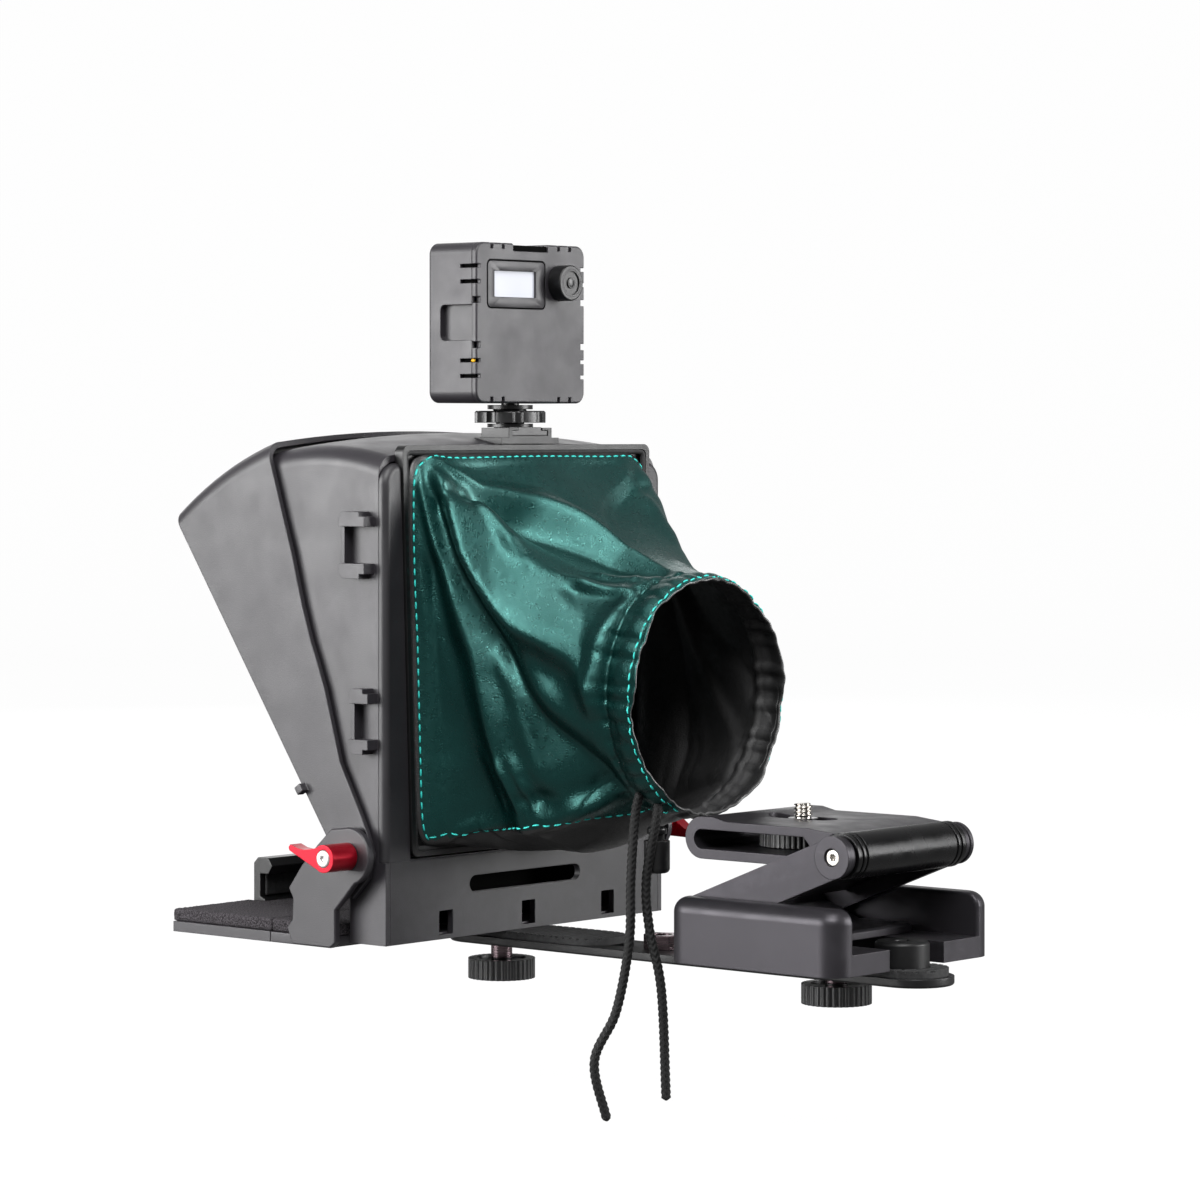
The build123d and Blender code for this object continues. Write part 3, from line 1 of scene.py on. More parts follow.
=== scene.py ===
# A camera rig: a rail with a camera stage, a housing with half-silvered glass, a foam-lined
# tray, a leather hood with a drawstring, and a small light on top.
# Z is up and the rig is centred on X = 0. The hood runs along Y, from its wide rim at low Y
# to its round throat at high Y. The light shines towards -Y, with its screen facing +Y.
# Lengths are millimetres unless said otherwise; mm() turns them into Blender's metres.
import bpy, bmesh, json, math
import numpy as np
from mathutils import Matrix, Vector, noise


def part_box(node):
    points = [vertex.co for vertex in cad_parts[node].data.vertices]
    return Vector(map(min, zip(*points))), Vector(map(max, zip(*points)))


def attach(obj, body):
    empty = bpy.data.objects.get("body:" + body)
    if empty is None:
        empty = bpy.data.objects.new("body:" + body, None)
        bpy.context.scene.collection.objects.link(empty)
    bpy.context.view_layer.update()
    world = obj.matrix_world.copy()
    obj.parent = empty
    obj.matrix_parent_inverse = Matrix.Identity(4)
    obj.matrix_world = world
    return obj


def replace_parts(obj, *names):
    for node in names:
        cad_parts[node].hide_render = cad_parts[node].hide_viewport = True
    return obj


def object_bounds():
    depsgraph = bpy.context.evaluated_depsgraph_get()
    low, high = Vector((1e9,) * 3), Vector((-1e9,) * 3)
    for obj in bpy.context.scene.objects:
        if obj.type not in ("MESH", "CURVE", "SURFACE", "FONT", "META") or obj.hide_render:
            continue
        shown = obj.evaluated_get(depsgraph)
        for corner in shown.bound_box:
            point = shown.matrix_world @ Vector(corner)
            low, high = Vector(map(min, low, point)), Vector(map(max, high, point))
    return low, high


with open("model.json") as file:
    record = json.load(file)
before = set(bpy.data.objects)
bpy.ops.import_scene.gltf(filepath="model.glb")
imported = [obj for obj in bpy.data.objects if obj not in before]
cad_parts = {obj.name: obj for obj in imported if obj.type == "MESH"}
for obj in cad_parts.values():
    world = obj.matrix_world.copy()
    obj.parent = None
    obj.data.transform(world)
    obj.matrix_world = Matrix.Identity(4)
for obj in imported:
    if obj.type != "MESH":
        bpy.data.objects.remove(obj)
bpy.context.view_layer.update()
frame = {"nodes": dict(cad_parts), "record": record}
PIECES = frame["nodes"]
SLOTS = {part["node"]: part["material_slot"] for part in frame["record"]["subparts"]}
MM = 0.001
scene = bpy.context.scene
scene.view_settings.view_transform = "Standard"


# ------------------------------------------------------------------ shader helpers
def srgb(red, green, blue):
    """linear RGBA of an 8-bit sRGB colour"""
    def linear(value):
        value /= 255
        return value / 12.92 if value <= 0.04045 else ((value + 0.055) / 1.055) ** 2.4
    return (linear(red), linear(green), linear(blue), 1.0)


def grey(value):
    return (value, value, value, 1)


def brighten(colour, factor):
    return (colour[0] * factor, colour[1] * factor, colour[2] * factor, 1.0)


class NodeKit:
    """adds nodes to a shader tree; an input may be given as a value or as a socket"""

    def __init__(self, tree):
        self.tree = tree
        self.coords = self.node("ShaderNodeTexCoord")

    def node(self, kind, **settings):
        """a node; each setting is an input where one has that name, else a property"""
        node = self.tree.nodes.new(kind)
        for key, value in settings.items():
            if key in node.inputs:
                node.inputs[key].default_value = value
            else:
                setattr(node, key, value)
        return node

    def feed(self, socket, value):
        if isinstance(value, bpy.types.NodeSocket):
            self.tree.links.new(value, socket)
        else:
            socket.default_value = value

    def noise(self, scale, detail=3.0, rough=0.55, stretch=None):
        texture = self.node("ShaderNodeTexNoise", Scale=scale, Detail=detail, Roughness=rough)
        source = self.coords.outputs["Object"]
        if stretch:
            mapping = self.node("ShaderNodeMapping", Scale=stretch)
            self.feed(mapping.inputs["Vector"], source)
            source = mapping.outputs["Vector"]
        self.feed(texture.inputs["Vector"], source)
        return texture.outputs["Fac"]

    def voronoi(self, scale, feature="F1"):
        texture = self.node("ShaderNodeTexVoronoi", feature=feature)
        texture.inputs["Scale"].default_value = scale
        self.feed(texture.inputs["Vector"], self.coords.outputs["Object"])
        return texture.outputs["Distance"]

    def ramp(self, factor, *stops):
        """colour ramp with two stops, each a (position, colour)"""
        ramp = self.node("ShaderNodeValToRGB")
        for element, (position, colour) in zip(ramp.color_ramp.elements, stops):
            element.position = position
            element.color = colour
        self.feed(ramp.inputs["Fac"], factor)
        return ramp.outputs["Color"]

    def remap(self, value, from_range, to_range):
        node = self.node("ShaderNodeMapRange")
        self.feed(node.inputs[0], value)
        for index, limit in enumerate((*from_range, *to_range), start=1):
            node.inputs[index].default_value = limit
        return node.outputs[0]

    def math(self, operation, first, second):
        node = self.node("ShaderNodeMath", operation=operation)
        self.feed(node.inputs[0], first)
        self.feed(node.inputs[1], second)
        return node.outputs[0]

    def mix_colour(self, factor, first, second, **settings):
        node = self.node("ShaderNodeMix", data_type="RGBA", **settings)
        for index, value in ((0, factor), (6, first), (7, second)):
            self.feed(node.inputs[index], value)
        return node.outputs[2]

    def mix_shader(self, factor, first, second):
        node = self.node("ShaderNodeMixShader")
        for index, value in enumerate((factor, first, second)):
            self.feed(node.inputs[index], value)
        return node.outputs[0]


class NodeMaterial(NodeKit):
    """a material built round the Principled shader, textured in object space"""

    def __init__(self, name):
        self.material = bpy.data.materials.new(name)
        self.material.use_nodes = True
        super().__init__(self.material.node_tree)
        self.shader = self.tree.nodes["Principled BSDF"]

    def shade(self, inputs):
        for name, value in inputs.items():
            self.feed(self.shader.inputs[name], value)

    def output(self, surface):
        self.feed(self.tree.nodes["Material Output"].inputs["Surface"], surface)

    def mottle(self, scale, detail, middle, below, above):
        """noise spread over a value from middle - below to middle + above"""
        return self.remap(self.noise(scale, detail), (0.3, 0.7), (middle - below, middle + above))

    def bump(self, height, distance, strength=1.0, edge=None):
        """surface grain, distance in metres; edge is the radius of softened corners, metres"""
        bump = self.node("ShaderNodeBump", Distance=distance, Strength=strength)
        self.feed(bump.inputs["Height"], height)
        if edge:
            bevel = self.node("ShaderNodeBevel", samples=4, Radius=edge)
            self.feed(bump.inputs["Normal"], bevel.outputs["Normal"])
        self.shade({"Normal": bump.outputs["Normal"]})

    def wear(self, base, light, amount):
        """lighter, rubbed edges from the pointiness of the surface"""
        geometry = self.node("ShaderNodeNewGeometry")
        edges = self.remap(geometry.outputs["Pointiness"], (0.52, 0.60), (0.0, amount))
        patches = self.remap(self.noise(240, detail=4), (0.35, 0.65), (0.2, 1.0))
        return self.mix_colour(self.math("MULTIPLY", edges, patches), base, light)


# ------------------------------------------------------------------ materials
# bump depths are in metres, texture scales in cells per metre
def plastic(name, rgb, rough=0.42, grain=2600, depth=0.00004, spec=0.5):
    m = NodeMaterial(name)
    colour = srgb(*rgb)
    base = m.ramp(m.noise(38, detail=4),
                  (0.3, brighten(colour, 1 - 0.12)), (0.7, brighten(colour, 1 + 0.12)))
    m.shade({
        "Base Color": m.wear(base, brighten(colour, 2.2), amount=0.35),
        "Roughness": m.mottle(90, 5, rough, below=0.05, above=0.06),
        "Specular IOR Level": spec,
    })
    pits = m.math("MULTIPLY", m.voronoi(grain * 0.8), 0.5)
    m.bump(m.math("ADD", m.noise(grain, detail=2), pits), depth, strength=0.5, edge=0.00035)
    return m.material


def metal(name, rgb, rough=0.35, metallic=0.9, grain=3200, depth=0.00003, stretch=None,
          spec=0.5):
    m = NodeMaterial(name)
    colour = srgb(*rgb)
    base = m.ramp(m.noise(30, detail=4),
                  (0.3, brighten(colour, 1 - 0.1)), (0.7, brighten(colour, 1 + 0.1)))
    m.shade({
        "Base Color": m.wear(base, brighten(colour, 1.9), amount=0.45),
        "Metallic": metallic,
        "Specular IOR Level": spec,
        "Roughness": m.remap(m.noise(120, detail=5, stretch=stretch),
                             (0.3, 0.7), (rough - 0.06, rough + 0.08)),
    })
    m.bump(m.noise(grain, detail=2, stretch=stretch), depth, strength=0.5, edge=0.0004)
    return m.material


def rubber():
    m = NodeMaterial("ribbed_rubber")
    m.shade({
        "Base Color": m.ramp(m.noise(600, detail=5),
                             (0.35, srgb(24, 24, 25)), (0.7, srgb(44, 44, 45))),
        "Roughness": 0.72,
    })
    m.bump(m.noise(3800, detail=3), 0.00006, strength=0.7, edge=0.0003)
    return m.material


def foam():
    m = NodeMaterial("speckled_foam")
    cells = m.voronoi(1500)
    speckle = m.noise(2300, detail=3, rough=0.7)
    light = m.ramp(speckle, (0.40, srgb(30, 28, 30)), (0.66, srgb(88, 84, 88)))
    dark = m.ramp(cells, (0.05, grey(0.35)), (0.35, grey(1)))
    m.shade({
        "Base Color": m.mix_colour(1.0, light, dark, blend_type="MULTIPLY"),
        "Roughness": 0.95,
        "Specular IOR Level": 0.15,
    })
    m.bump(m.math("ADD", cells, speckle), 0.00035, strength=0.9)
    return m.material


def leather(name, dark, light, rough=0.36, tint=(1, 1, 1, 1)):
    """grained leather; tint colours its highlights"""
    m = NodeMaterial(name)
    m.shade({
        "Base Color": m.ramp(m.noise(60, detail=5, rough=0.6),
                             (0.3, srgb(*dark)), (0.75, srgb(*light))),
        "Roughness": m.mottle(500, 4, rough, below=0.04, above=0.08),
        "Specular IOR Level": 0.95,
        "Specular Tint": tint,
    })
    cells = m.remap(m.voronoi(1350, "DISTANCE_TO_EDGE"), (0.0, 0.12), (0.0, 1.0))
    pores = m.math("MULTIPLY", m.voronoi(2000), 0.35)
    wrinkles = m.math("MULTIPLY", m.noise(2000, detail=4, rough=0.6), 0.7)
    fine = m.math("ADD", pores, wrinkles)
    m.bump(m.math("ADD", m.math("MULTIPLY", cells, 0.55), fine), 0.00009, strength=0.6)
    return m.material


def cord():
    m = NodeMaterial("black_braid")
    m.shade({
        "Base Color": m.ramp(m.noise(2600, detail=3), (0.3, srgb(3, 3, 3)), (0.75, srgb(15, 15, 16))),
        "Roughness": 0.62,
        "Specular IOR Level": 0.3,
        "Sheen Weight": 0.05,
    })
    m.bump(m.noise(5200, detail=2), 0.0001, strength=0.6)
    return m.material


def glass():
    """part clear, part mirror, with the mirror growing at grazing angles"""
    m = NodeMaterial("half_silvered_glass")
    clear = m.node("ShaderNodeBsdfTransparent", Color=(0.80, 0.84, 0.85, 1))
    mirror = m.node("ShaderNodeBsdfGlossy", Roughness=0.02, Color=(0.86, 0.90, 0.92, 1))
    fresnel = m.node("ShaderNodeFresnel", IOR=1.9)
    silvering = m.remap(fresnel.outputs[0], (0, 1), (0.22, 1.0))
    unevenness = m.mottle(14, 3, 0, below=0.015, above=0.015)
    factor = m.math("ADD", silvering, unevenness)
    m.output(m.mix_shader(factor, clear.outputs[0], mirror.outputs[0]))
    return m.material


def diffuser():
    m = NodeMaterial("frosted_diffuser")
    m.shade({
        "Base Color": m.ramp(m.noise(50, detail=3),
                             (0.3, (0.78, 0.78, 0.74, 1)), (0.7, (0.88, 0.88, 0.85, 1))),
        "Roughness": 0.42,
        "Transmission Weight": 0.35,
    })
    m.bump(m.voronoi(900), 0.0002, strength=0.5)
    return m.material


def screen():
    m = NodeMaterial("lcd_screen")
    colour = m.ramp(m.noise(25, detail=2), (0.2, srgb(150, 152, 160)), (0.8, srgb(176, 178, 186)))
    m.shade({
        "Base Color": colour,
        "Emission Color": colour,
        "Emission Strength": 0.55,
        "Roughness": 0.3,
        "Specular IOR Level": 0.25,
    })
    m.bump(m.noise(2500, detail=1), 0.00001, strength=0.2)
    return m.material


def simple(name, dark, light, rough, scale=300, spec=0.5):
    """two mottled colours; scale sets the size of the patches and of the grain"""
    m = NodeMaterial(name)
    m.shade({
        "Base Color": m.ramp(m.noise(scale, detail=4), (0.3, srgb(*dark)), (0.7, srgb(*light))),
        "Roughness": m.mottle(scale * 2, 3, rough, below=0.05, above=0.05),
        "Specular IOR Level": spec,
    })
    m.bump(m.noise(scale * 8, detail=2), 0.00003, strength=0.5)
    return m.material


def studio_paper():
    """nearly white to the camera, and a dim light source to everything else"""
    m = NodeMaterial("studio_paper")
    m.shade({
        "Base Color": m.ramp(m.noise(3, detail=2),
                             (0.3, (0.80, 0.80, 0.803, 1)), (0.7, (0.84, 0.84, 0.843, 1))),
        "Roughness": 0.95,
        "Specular IOR Level": 0.0,
    })
    glow = m.node("ShaderNodeEmission", Strength=1.03, Color=grey(1))
    seen = m.mix_shader(0.93, m.shader.outputs[0], glow.outputs[0])
    dim = m.node("ShaderNodeEmission", Strength=0.26)
    ray = m.node("ShaderNodeLightPath")
    m.output(m.mix_shader(ray.outputs["Is Camera Ray"], dim.outputs[0], seen))
    return m.material


MATS = {
    "housing": plastic("housing_satin_plastic", (40, 38, 42), grain=2400, depth=0.00005, spec=0.62),
    "rear": plastic("rear_frame_plastic", (35, 34, 37), rough=0.44, grain=2400, depth=0.00005,
                    spec=0.58),
    "rim": plastic("hood_rim_plastic", (16, 16, 17), rough=0.36, grain=2400),
    "black": plastic("black_plastic", (17, 17, 18), rough=0.36),
    "led": plastic("light_plastic", (38, 36, 40), rough=0.44, grain=3000, spec=0.55),
    "knob": plastic("knob_plastic", (17, 17, 18), rough=0.33, spec=0.6),
    "rail": metal("rail_black_coat", (16, 16, 17), rough=0.42, metallic=0.2, grain=2200),
    "stage": metal("stage_anodised", (50, 48, 52), rough=0.40, metallic=0.62, grain=3000,
                   depth=0.00005),
    "link": metal("link_anodised", (46, 44, 48), rough=0.40, metallic=0.62, grain=3000,
                  depth=0.00005),
    "barrel": metal("barrel_black", (14, 14, 15), rough=0.24, metallic=0.5, grain=3600,
                    depth=0.00002),
    "steel": metal("turned_steel", (112, 98, 102), rough=0.26, metallic=1.0, grain=2600,
                   depth=0.00002, stretch=(1, 1, 12)),
    "cap": metal("cap_satin_aluminium", (205, 203, 203), rough=0.3, metallic=0.6, grain=2600,
                 depth=0.00001),
    "red": metal("red_anodised", (168, 8, 34), rough=0.33, metallic=0.7, grain=3400,
                 depth=0.00002, spec=0.7),
    "screw": metal("bright_screw", (190, 186, 180), rough=0.24, metallic=1.0, grain=2600,
                   depth=0.00001),
    "dark_screw": metal("blackened_screw", (30, 30, 31), rough=0.35, metallic=0.8, grain=2600,
                        depth=0.00001),
    "rubber": rubber(),
    "foam": foam(),
    "cord": cord(),
    "leather": leather("teal_leather", (2, 28, 27), (6, 41, 39), rough=0.28,
                       tint=(0.36, 1.0, 0.92, 1)),
    "leather_black": leather("black_leather", (14, 14, 15), (26, 26, 27)),
    "lining": leather("hood_lining", (10, 10, 11), (20, 20, 21), rough=0.6),
    "stitch": simple("stitch_thread", (30, 190, 180), (60, 215, 205), rough=0.6, scale=2200),
    "glass": glass(),
    "diffuser": diffuser(),
    "screen": screen(),
    "board": simple("white_circuit_board", (222, 224, 220), (236, 238, 234), rough=0.45),
    "led_chip": simple("led_phosphor", (226, 200, 70), (240, 214, 96), rough=0.4, scale=900),
    # near-black for painted shade: it darkens the notches, vents, bezel groove and rib slot
    "matte": simple("painted_shade_black", (5, 5, 5), (9, 9, 9), rough=0.92, scale=900, spec=0.05),
    "battery": simple("battery_wrap", (34, 60, 128), (44, 74, 150), rough=0.3),
    "amber": simple("amber_indicator", (220, 160, 20), (245, 190, 40), rough=0.3),
}


# ------------------------------------------------------------------ looks of the CAD pieces
# material slot: material
MATERIAL_BY_SLOT = {
    "rail_metal": "rail", "rubber_pad": "rubber", "steel": "steel",
    "housing_plastic": "housing", "black_plastic": "black", "hood_leather": "leather",
    "cord_braid": "cord", "tray_foam": "foam", "splitter_glass": "glass",
    "red_anodised": "red", "cap_metal": "cap", "stage_aluminium": "stage",
    "black_anodised": "barrel", "led_plastic": "led", "diffuser": "diffuser",
    "screen": "screen", "board": "board", "battery_wrap": "battery",
}
# piece: material, where it differs from the one of its slot
MATERIAL_BY_PIECE = {
    "cold_shoe": "black", "rear_frame": "rear", "hood_rim": "rim", "tilt_link": "link",
    "tilt_top": "link", "lower_hinge_pins": "dark_screw", "front_knob": "knob",
    "rear_knob": "knob", "camera_wheel": "knob", "barrel_pin": "screw",
    "housing_screws": "dark_screw", "lock_ring": "knob", "shoe_foot": "knob",
    "led_dial": "black",
}
UNBEVELLED = {
    "cloth_hood", "drawstring_cord", "glass_pane", "front_knob", "rear_knob", "camera_wheel",
    "led_dial", "rail_pad_front", "rail_pad_rear", "tray_foam", "extension_foam",
}
DEFAULT_BEVEL = 0.25
BEVEL_WIDTHS = {
    "housing_shell": 0.5, "front_shade": 0.5, "rear_frame": 0.4, "hood_rim": 0.4,
    "camera_stage": 0.5, "tilt_top": 0.35, "tilt_link": 0.35, "led_front_shell": 0.3,
    "led_back_cover": 0.2, "base_rail": 0.3, "tray_plate": 0.4, "extension_plate": 0.4,
    "lock_ring": 0.35,
}
WELD_DISTANCE = 2e-6  # metres


def add_weld(piece, name):
    piece.modifiers.new(name, "WELD").merge_threshold = WELD_DISTANCE


def round_edges(piece, width):
    add_weld(piece, "weld")
    # merging the flat triangles leaves the bevel only real edges to follow
    flatten = piece.modifiers.new("flat_faces", "DECIMATE")
    flatten.decimate_type = "DISSOLVE"
    flatten.angle_limit = math.radians(0.4)
    bevel = piece.modifiers.new("edge_round", "BEVEL")
    bevel.width = width * MM
    bevel.segments = 2
    bevel.limit_method = "ANGLE"
    bevel.angle_limit = math.radians(38)
    bevel.use_clamp_overlap = True
    bevel.loop_slide = False
    normals = piece.modifiers.new("weighted", "WEIGHTED_NORMAL")
    normals.weight = 60
    normals.keep_sharp = False


for name, piece in PIECES.items():
    piece.data.materials.clear()
    key = MATERIAL_BY_PIECE.get(name, MATERIAL_BY_SLOT[SLOTS[name]])
    piece.data.materials.append(MATS[key])
    for face in piece.data.polygons:
        face.use_smooth = True
    if name not in UNBEVELLED:
        round_edges(piece, BEVEL_WIDTHS.get(name, DEFAULT_BEVEL))


# ------------------------------------------------------------------ mesh helpers
def mm(x, y, z):
    return Vector((x * MM, y * MM, z * MM))


class Box:
    """extent of a CAD piece in millimetres"""

    def __init__(self, node):
        low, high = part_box(node)
        self.x0, self.y0, self.z0 = (value / MM for value in low)
        self.x1, self.y1, self.z1 = (value / MM for value in high)
        self.mid_x = (self.x0 + self.x1) / 2
        self.mid_y = (self.y0 + self.y1) / 2
        self.mid_z = (self.z0 + self.z1) / 2


def add_object(name, mesh, materials, body, sharp=None):
    """smooth-shaded piece of a body; sharp is the angle from which edges stay crisp"""
    piece = bpy.data.objects.new(name, mesh)
    scene.collection.objects.link(piece)
    for material in materials:
        mesh.materials.append(material)
    for face in mesh.polygons:
        face.use_smooth = True
    if sharp:
        mesh.set_sharp_from_angle(angle=math.radians(sharp))
    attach(piece, body)
    return piece


def make_mesh(name, verts, faces, fix_normals=False):
    mesh = bpy.data.meshes.new(name)
    mesh.from_pydata([tuple(vert) for vert in verts], [], faces)
    mesh.validate(clean_customdata=False)
    mesh.update()
    if fix_normals:
        bm = bmesh.new()
        bm.from_mesh(mesh)
        bmesh.ops.recalc_face_normals(bm, faces=bm.faces)
        bm.to_mesh(mesh)
        bm.free()
    return mesh


def ring_faces(rings, count, first=0, loop=False):
    """quads between successive rings of count vertices; loop joins the last to the first"""
    faces = []
    for i in range(rings if loop else rings - 1):
        this = first + i * count
        after = first + (i + 1) % rings * count
        for k in range(count):
            k2 = (k + 1) % count
            faces.append((this + k, this + k2, after + k2, after + k))
    return faces


def capped_faces(rings, count, first=0):
    """ring_faces with both ends closed"""
    last = first + (rings - 1) * count
    return ring_faces(rings, count, first) + [
        tuple(reversed(range(first, first + count))),
        tuple(range(last, last + count)),
    ]


def circle(count):
    """cosine and sine of evenly spaced angles"""
    angles = [2 * math.pi * k / count for k in range(count)]
    return [(math.cos(angle), math.sin(angle)) for angle in angles]


def path_lengths(points):
    """length in mm from the start of a path in metres to each of its points"""
    lengths = [0.0]
    for here, after in zip(points, points[1:]):
        lengths.append(lengths[-1] + (after - here).length / MM)
    return lengths


def locate(lengths, distance):
    """segment of a path that a distance falls in, and the fraction along it"""
    k = int(np.searchsorted(lengths, distance, side="right")) - 1
    k = min(max(k, 0), len(lengths) - 2)
    return k, (distance - lengths[k]) / max(lengths[k + 1] - lengths[k], 1e-9)


# ------------------------------------------------------------------ cloth hood: base shape
# u runs round the hood (0 at +X, 0.25 on top), v from the rim (0) to the throat (1)
hood_box = Box("cloth_hood")
RIM_Y = hood_box.y0 + 1.7
THROAT_Y = hood_box.y1
HOOD_OFFSET = 0.3         # the sheet lies this far outside the sizes below
RIM_HALF_WIDTH = 59.8
RIM_FLARE = 2.4           # half width gained at the top of the rim and lost at its foot
RIM_HALF_HEIGHT = 67.4
RIM_MID_Z = 104.9
RIM_SQUARENESS = 15.0     # exponent of the superellipse
THROAT_Z = 90.0
THROAT_RADIUS = 40.0
HOOD_CENTRE_Z = 95.0      # a height well inside the hood, to tell outward from inward
# v, and how far the section has gone from the rim's shape (0) to the throat's (1)
TAPER_V = [0, 0.15, 0.30, 0.46, 0.62, 0.76, 0.88, 1.0]
TAPER_SHARE = [0, 0.19, 0.37, 0.55, 0.72, 0.88, 0.985, 1.0]
HOOD_COLUMNS = 320        # vertices round the hood
HOOD_ROWS = 104           # vertices from rim to throat
SEAM_V = 0.855            # seam of the drawstring channel


def hood_base(u, v):
    """points of the hood without folds"""
    cos, sin = np.cos(2 * np.pi * u), np.sin(2 * np.pi * u)
    power = RIM_SQUARENESS
    stretch = (abs(cos) ** power + abs(sin) ** power) ** (-1 / power)
    height = sin * stretch
    rim_x = (RIM_HALF_WIDTH + RIM_FLARE * height + HOOD_OFFSET) * cos * stretch
    rim_z = RIM_MID_Z + (RIM_HALF_HEIGHT + HOOD_OFFSET) * height
    throat_x = (THROAT_RADIUS + HOOD_OFFSET) * cos
    throat_z = THROAT_Z + (THROAT_RADIUS + HOOD_OFFSET) * sin
    share = np.interp(v, TAPER_V, TAPER_SHARE)
    return np.stack([rim_x + (throat_x - rim_x) * share,
                     RIM_Y + (THROAT_Y - RIM_Y) * v,
                     rim_z + (throat_z - rim_z) * share], -1)


# ------------------------------------------------------------------ cloth hood: folds
# lines of the folds on the +X side, as (u, v) points
RIM_DIP = [(0.07, 0.10), (0.0, 0.16), (-0.06, 0.2), (-0.11, 0.22)]
LOW_RIDGE = [
    (0.117, 0.05), (0.094, 0.114), (0.08, 0.174), (0.049, 0.258), (0.019, 0.331),
    (-0.024, 0.371), (-0.064, 0.395), (-0.101, 0.425), (-0.14, 0.425),
]
CREASE = [
    (0.132, 0.03), (0.113, 0.147), (0.088, 0.217), (0.064, 0.328), (0.034, 0.448),
    (-0.025, 0.592), (-0.058, 0.719), (-0.101, 0.80), (-0.146, 0.815),
]
HIGH_RIDGE = [
    (0.131, 0.04), (0.117, 0.167), (0.096, 0.231), (0.092, 0.268), (0.072, 0.368),
    (0.060, 0.475), (0.058, 0.58), (0.046, 0.726), (0.0, 0.83),
]
SMALL_RIDGE = [(0.03, 0.40), (-0.009, 0.50), (-0.062, 0.56), (-0.101, 0.62), (-0.128, 0.73)]
UPPER = [
    (0.137, 0.02), (0.147, 0.12), (0.205, 0.254), (0.232, 0.42), (0.25, 0.60), (0.262, 0.80),
]
MIDDLE = [(0.143, 0.137), (0.136, 0.268), (0.13, 0.371), (0.123, 0.448)]
THROAT_FOLD = [(0.132, 0.589), (0.14, 0.706), (0.155, 0.823)]
THROAT_FOLD_ABOVE = [(0.165, 0.60), (0.175, 0.72), (0.19, 0.82)]
BOTTOM = [(-0.138, 0.04), (-0.128, 0.25), (-0.125, 0.45), (-0.127, 0.669), (-0.148, 0.80)]


def shifted(line, du, dv=0.0):
    return [(u + du, v + dv) for u, v in line]


def gather(u, v, length):
    return [(u, v), (u + length * 0.6, v - 0.02), (u + length, v - 0.05)]


# line, height (negative sinks), half width below and above the line,
# strength at the line's start and end, exponent of the profile
FOLDS = [
    # the panel by the rim lies flat, then a long ridge with a sharp lower side
    (RIM_DIP, -6.0, 15.0, 13.0, (0.5, 0.7), 2.0),
    (LOW_RIDGE, 11.5, 4.5, 17.0, (0.3, 0.3), 1.6),
    # deep crease from the rim's upper corner to the foot of the throat
    (CREASE, -9.5, 11.0, 3.4, (0.25, 0.9), 1.6),
    # second ridge right above it, with a wide upper flank
    (HIGH_RIDGE, 9.5, 4.2, 18.0, (0.25, 0.8), 1.7),
    (SMALL_RIDGE, 3.6, 5.0, 10.0, (0.2, 0.5), 2.0),
    # long fold under the top panel
    (UPPER, 6.4, 3.4, 12.0, (0.5, 0.5), 1.7),
    (shifted(UPPER[1:], -0.03), -5.2, 9.0, 4.0, (0.3, 0.6), 2.0),
    (MIDDLE, 3.2, 2.6, 6.0, (0.2, 0.2), 2.0),
    (THROAT_FOLD, 3.0, 3.0, 6.0, (0.2, 0.5), 2.0),
    (shifted(THROAT_FOLD, -0.016, 0.01), -1.4, 5.0, 3.0, (0.2, 0.4), 2.0),
    (THROAT_FOLD_ABOVE, 3.0, 3.0, 5.0, (0.2, 0.4), 2.0),
    # edge over the baggy underside
    (BOTTOM, 3.4, 4.4, 3.4, (0.2, 0.8), 2.0),
    (shifted(BOTTOM[2:], 0.02), -3.4, 4.5, 5.5, (0.3, 0.5), 2.0),
    # small gathers that leave the bottom fold
    (gather(-0.115, 0.36, 0.05), 1.5, 2.2, 2.2, (0.8, 0.1), 2.0),
    (gather(-0.112, 0.43, 0.045), 1.5, 2.2, 2.2, (0.8, 0.1), 2.0),
    (gather(-0.112, 0.50, 0.05), 1.5, 2.2, 2.2, (0.8, 0.1), 2.0),
]
LINE_SAMPLES = 200
LINE_SMOOTHING = 15       # samples on either side that a fold line is averaged over
FAR_SIDE_STRENGTH = 0.42  # the -X side has the same folds, weaker


def smooth_line(line):
    """u and v of evenly spaced samples along a rounded-off line"""
    points = np.array(line, float)
    distance = np.r_[0, np.cumsum(np.hypot(np.diff(points[:, 0]) * 3, np.diff(points[:, 1])))]
    distance /= distance[-1]
    along = np.linspace(0, 1, LINE_SAMPLES)
    u = np.interp(along, distance, points[:, 0])
    v = np.interp(along, distance, points[:, 1])
    reach = LINE_SMOOTHING
    kernel = np.hanning(2 * reach + 1)
    kernel /= kernel.sum()
    for _ in range(2):
        u = np.convolve(np.pad(u, reach, "reflect", reflect_type="odd"), kernel, "valid")
        v = np.convolve(np.pad(v, reach, "reflect", reflect_type="odd"), kernel, "valid")
    return u, v, along


def distance_to_line(points, u, v, line):
    """signed distance to a line (positive above it, if v grows along it) and place along it"""
    line_u, line_v, along = smooth_line(line)
    flat = points.reshape(-1, 3)
    best = np.full(len(flat), 1e9)
    nearest = np.zeros(len(flat), int)
    for i, sample in enumerate(hood_base(line_u, line_v)):
        squared = ((flat - sample) ** 2).sum(1)
        closer = squared < best
        best[closer] = squared[closer]
        nearest[closer] = i
    step_u, step_v = np.gradient(line_u), np.gradient(line_v)
    off_u = u.ravel() - line_u[nearest]
    off_v = v.ravel() - line_v[nearest]
    sign = np.sign(off_u * step_v[nearest] - off_v * step_u[nearest])
    return (np.sqrt(best) * sign).reshape(u.shape), along[nearest].reshape(u.shape)


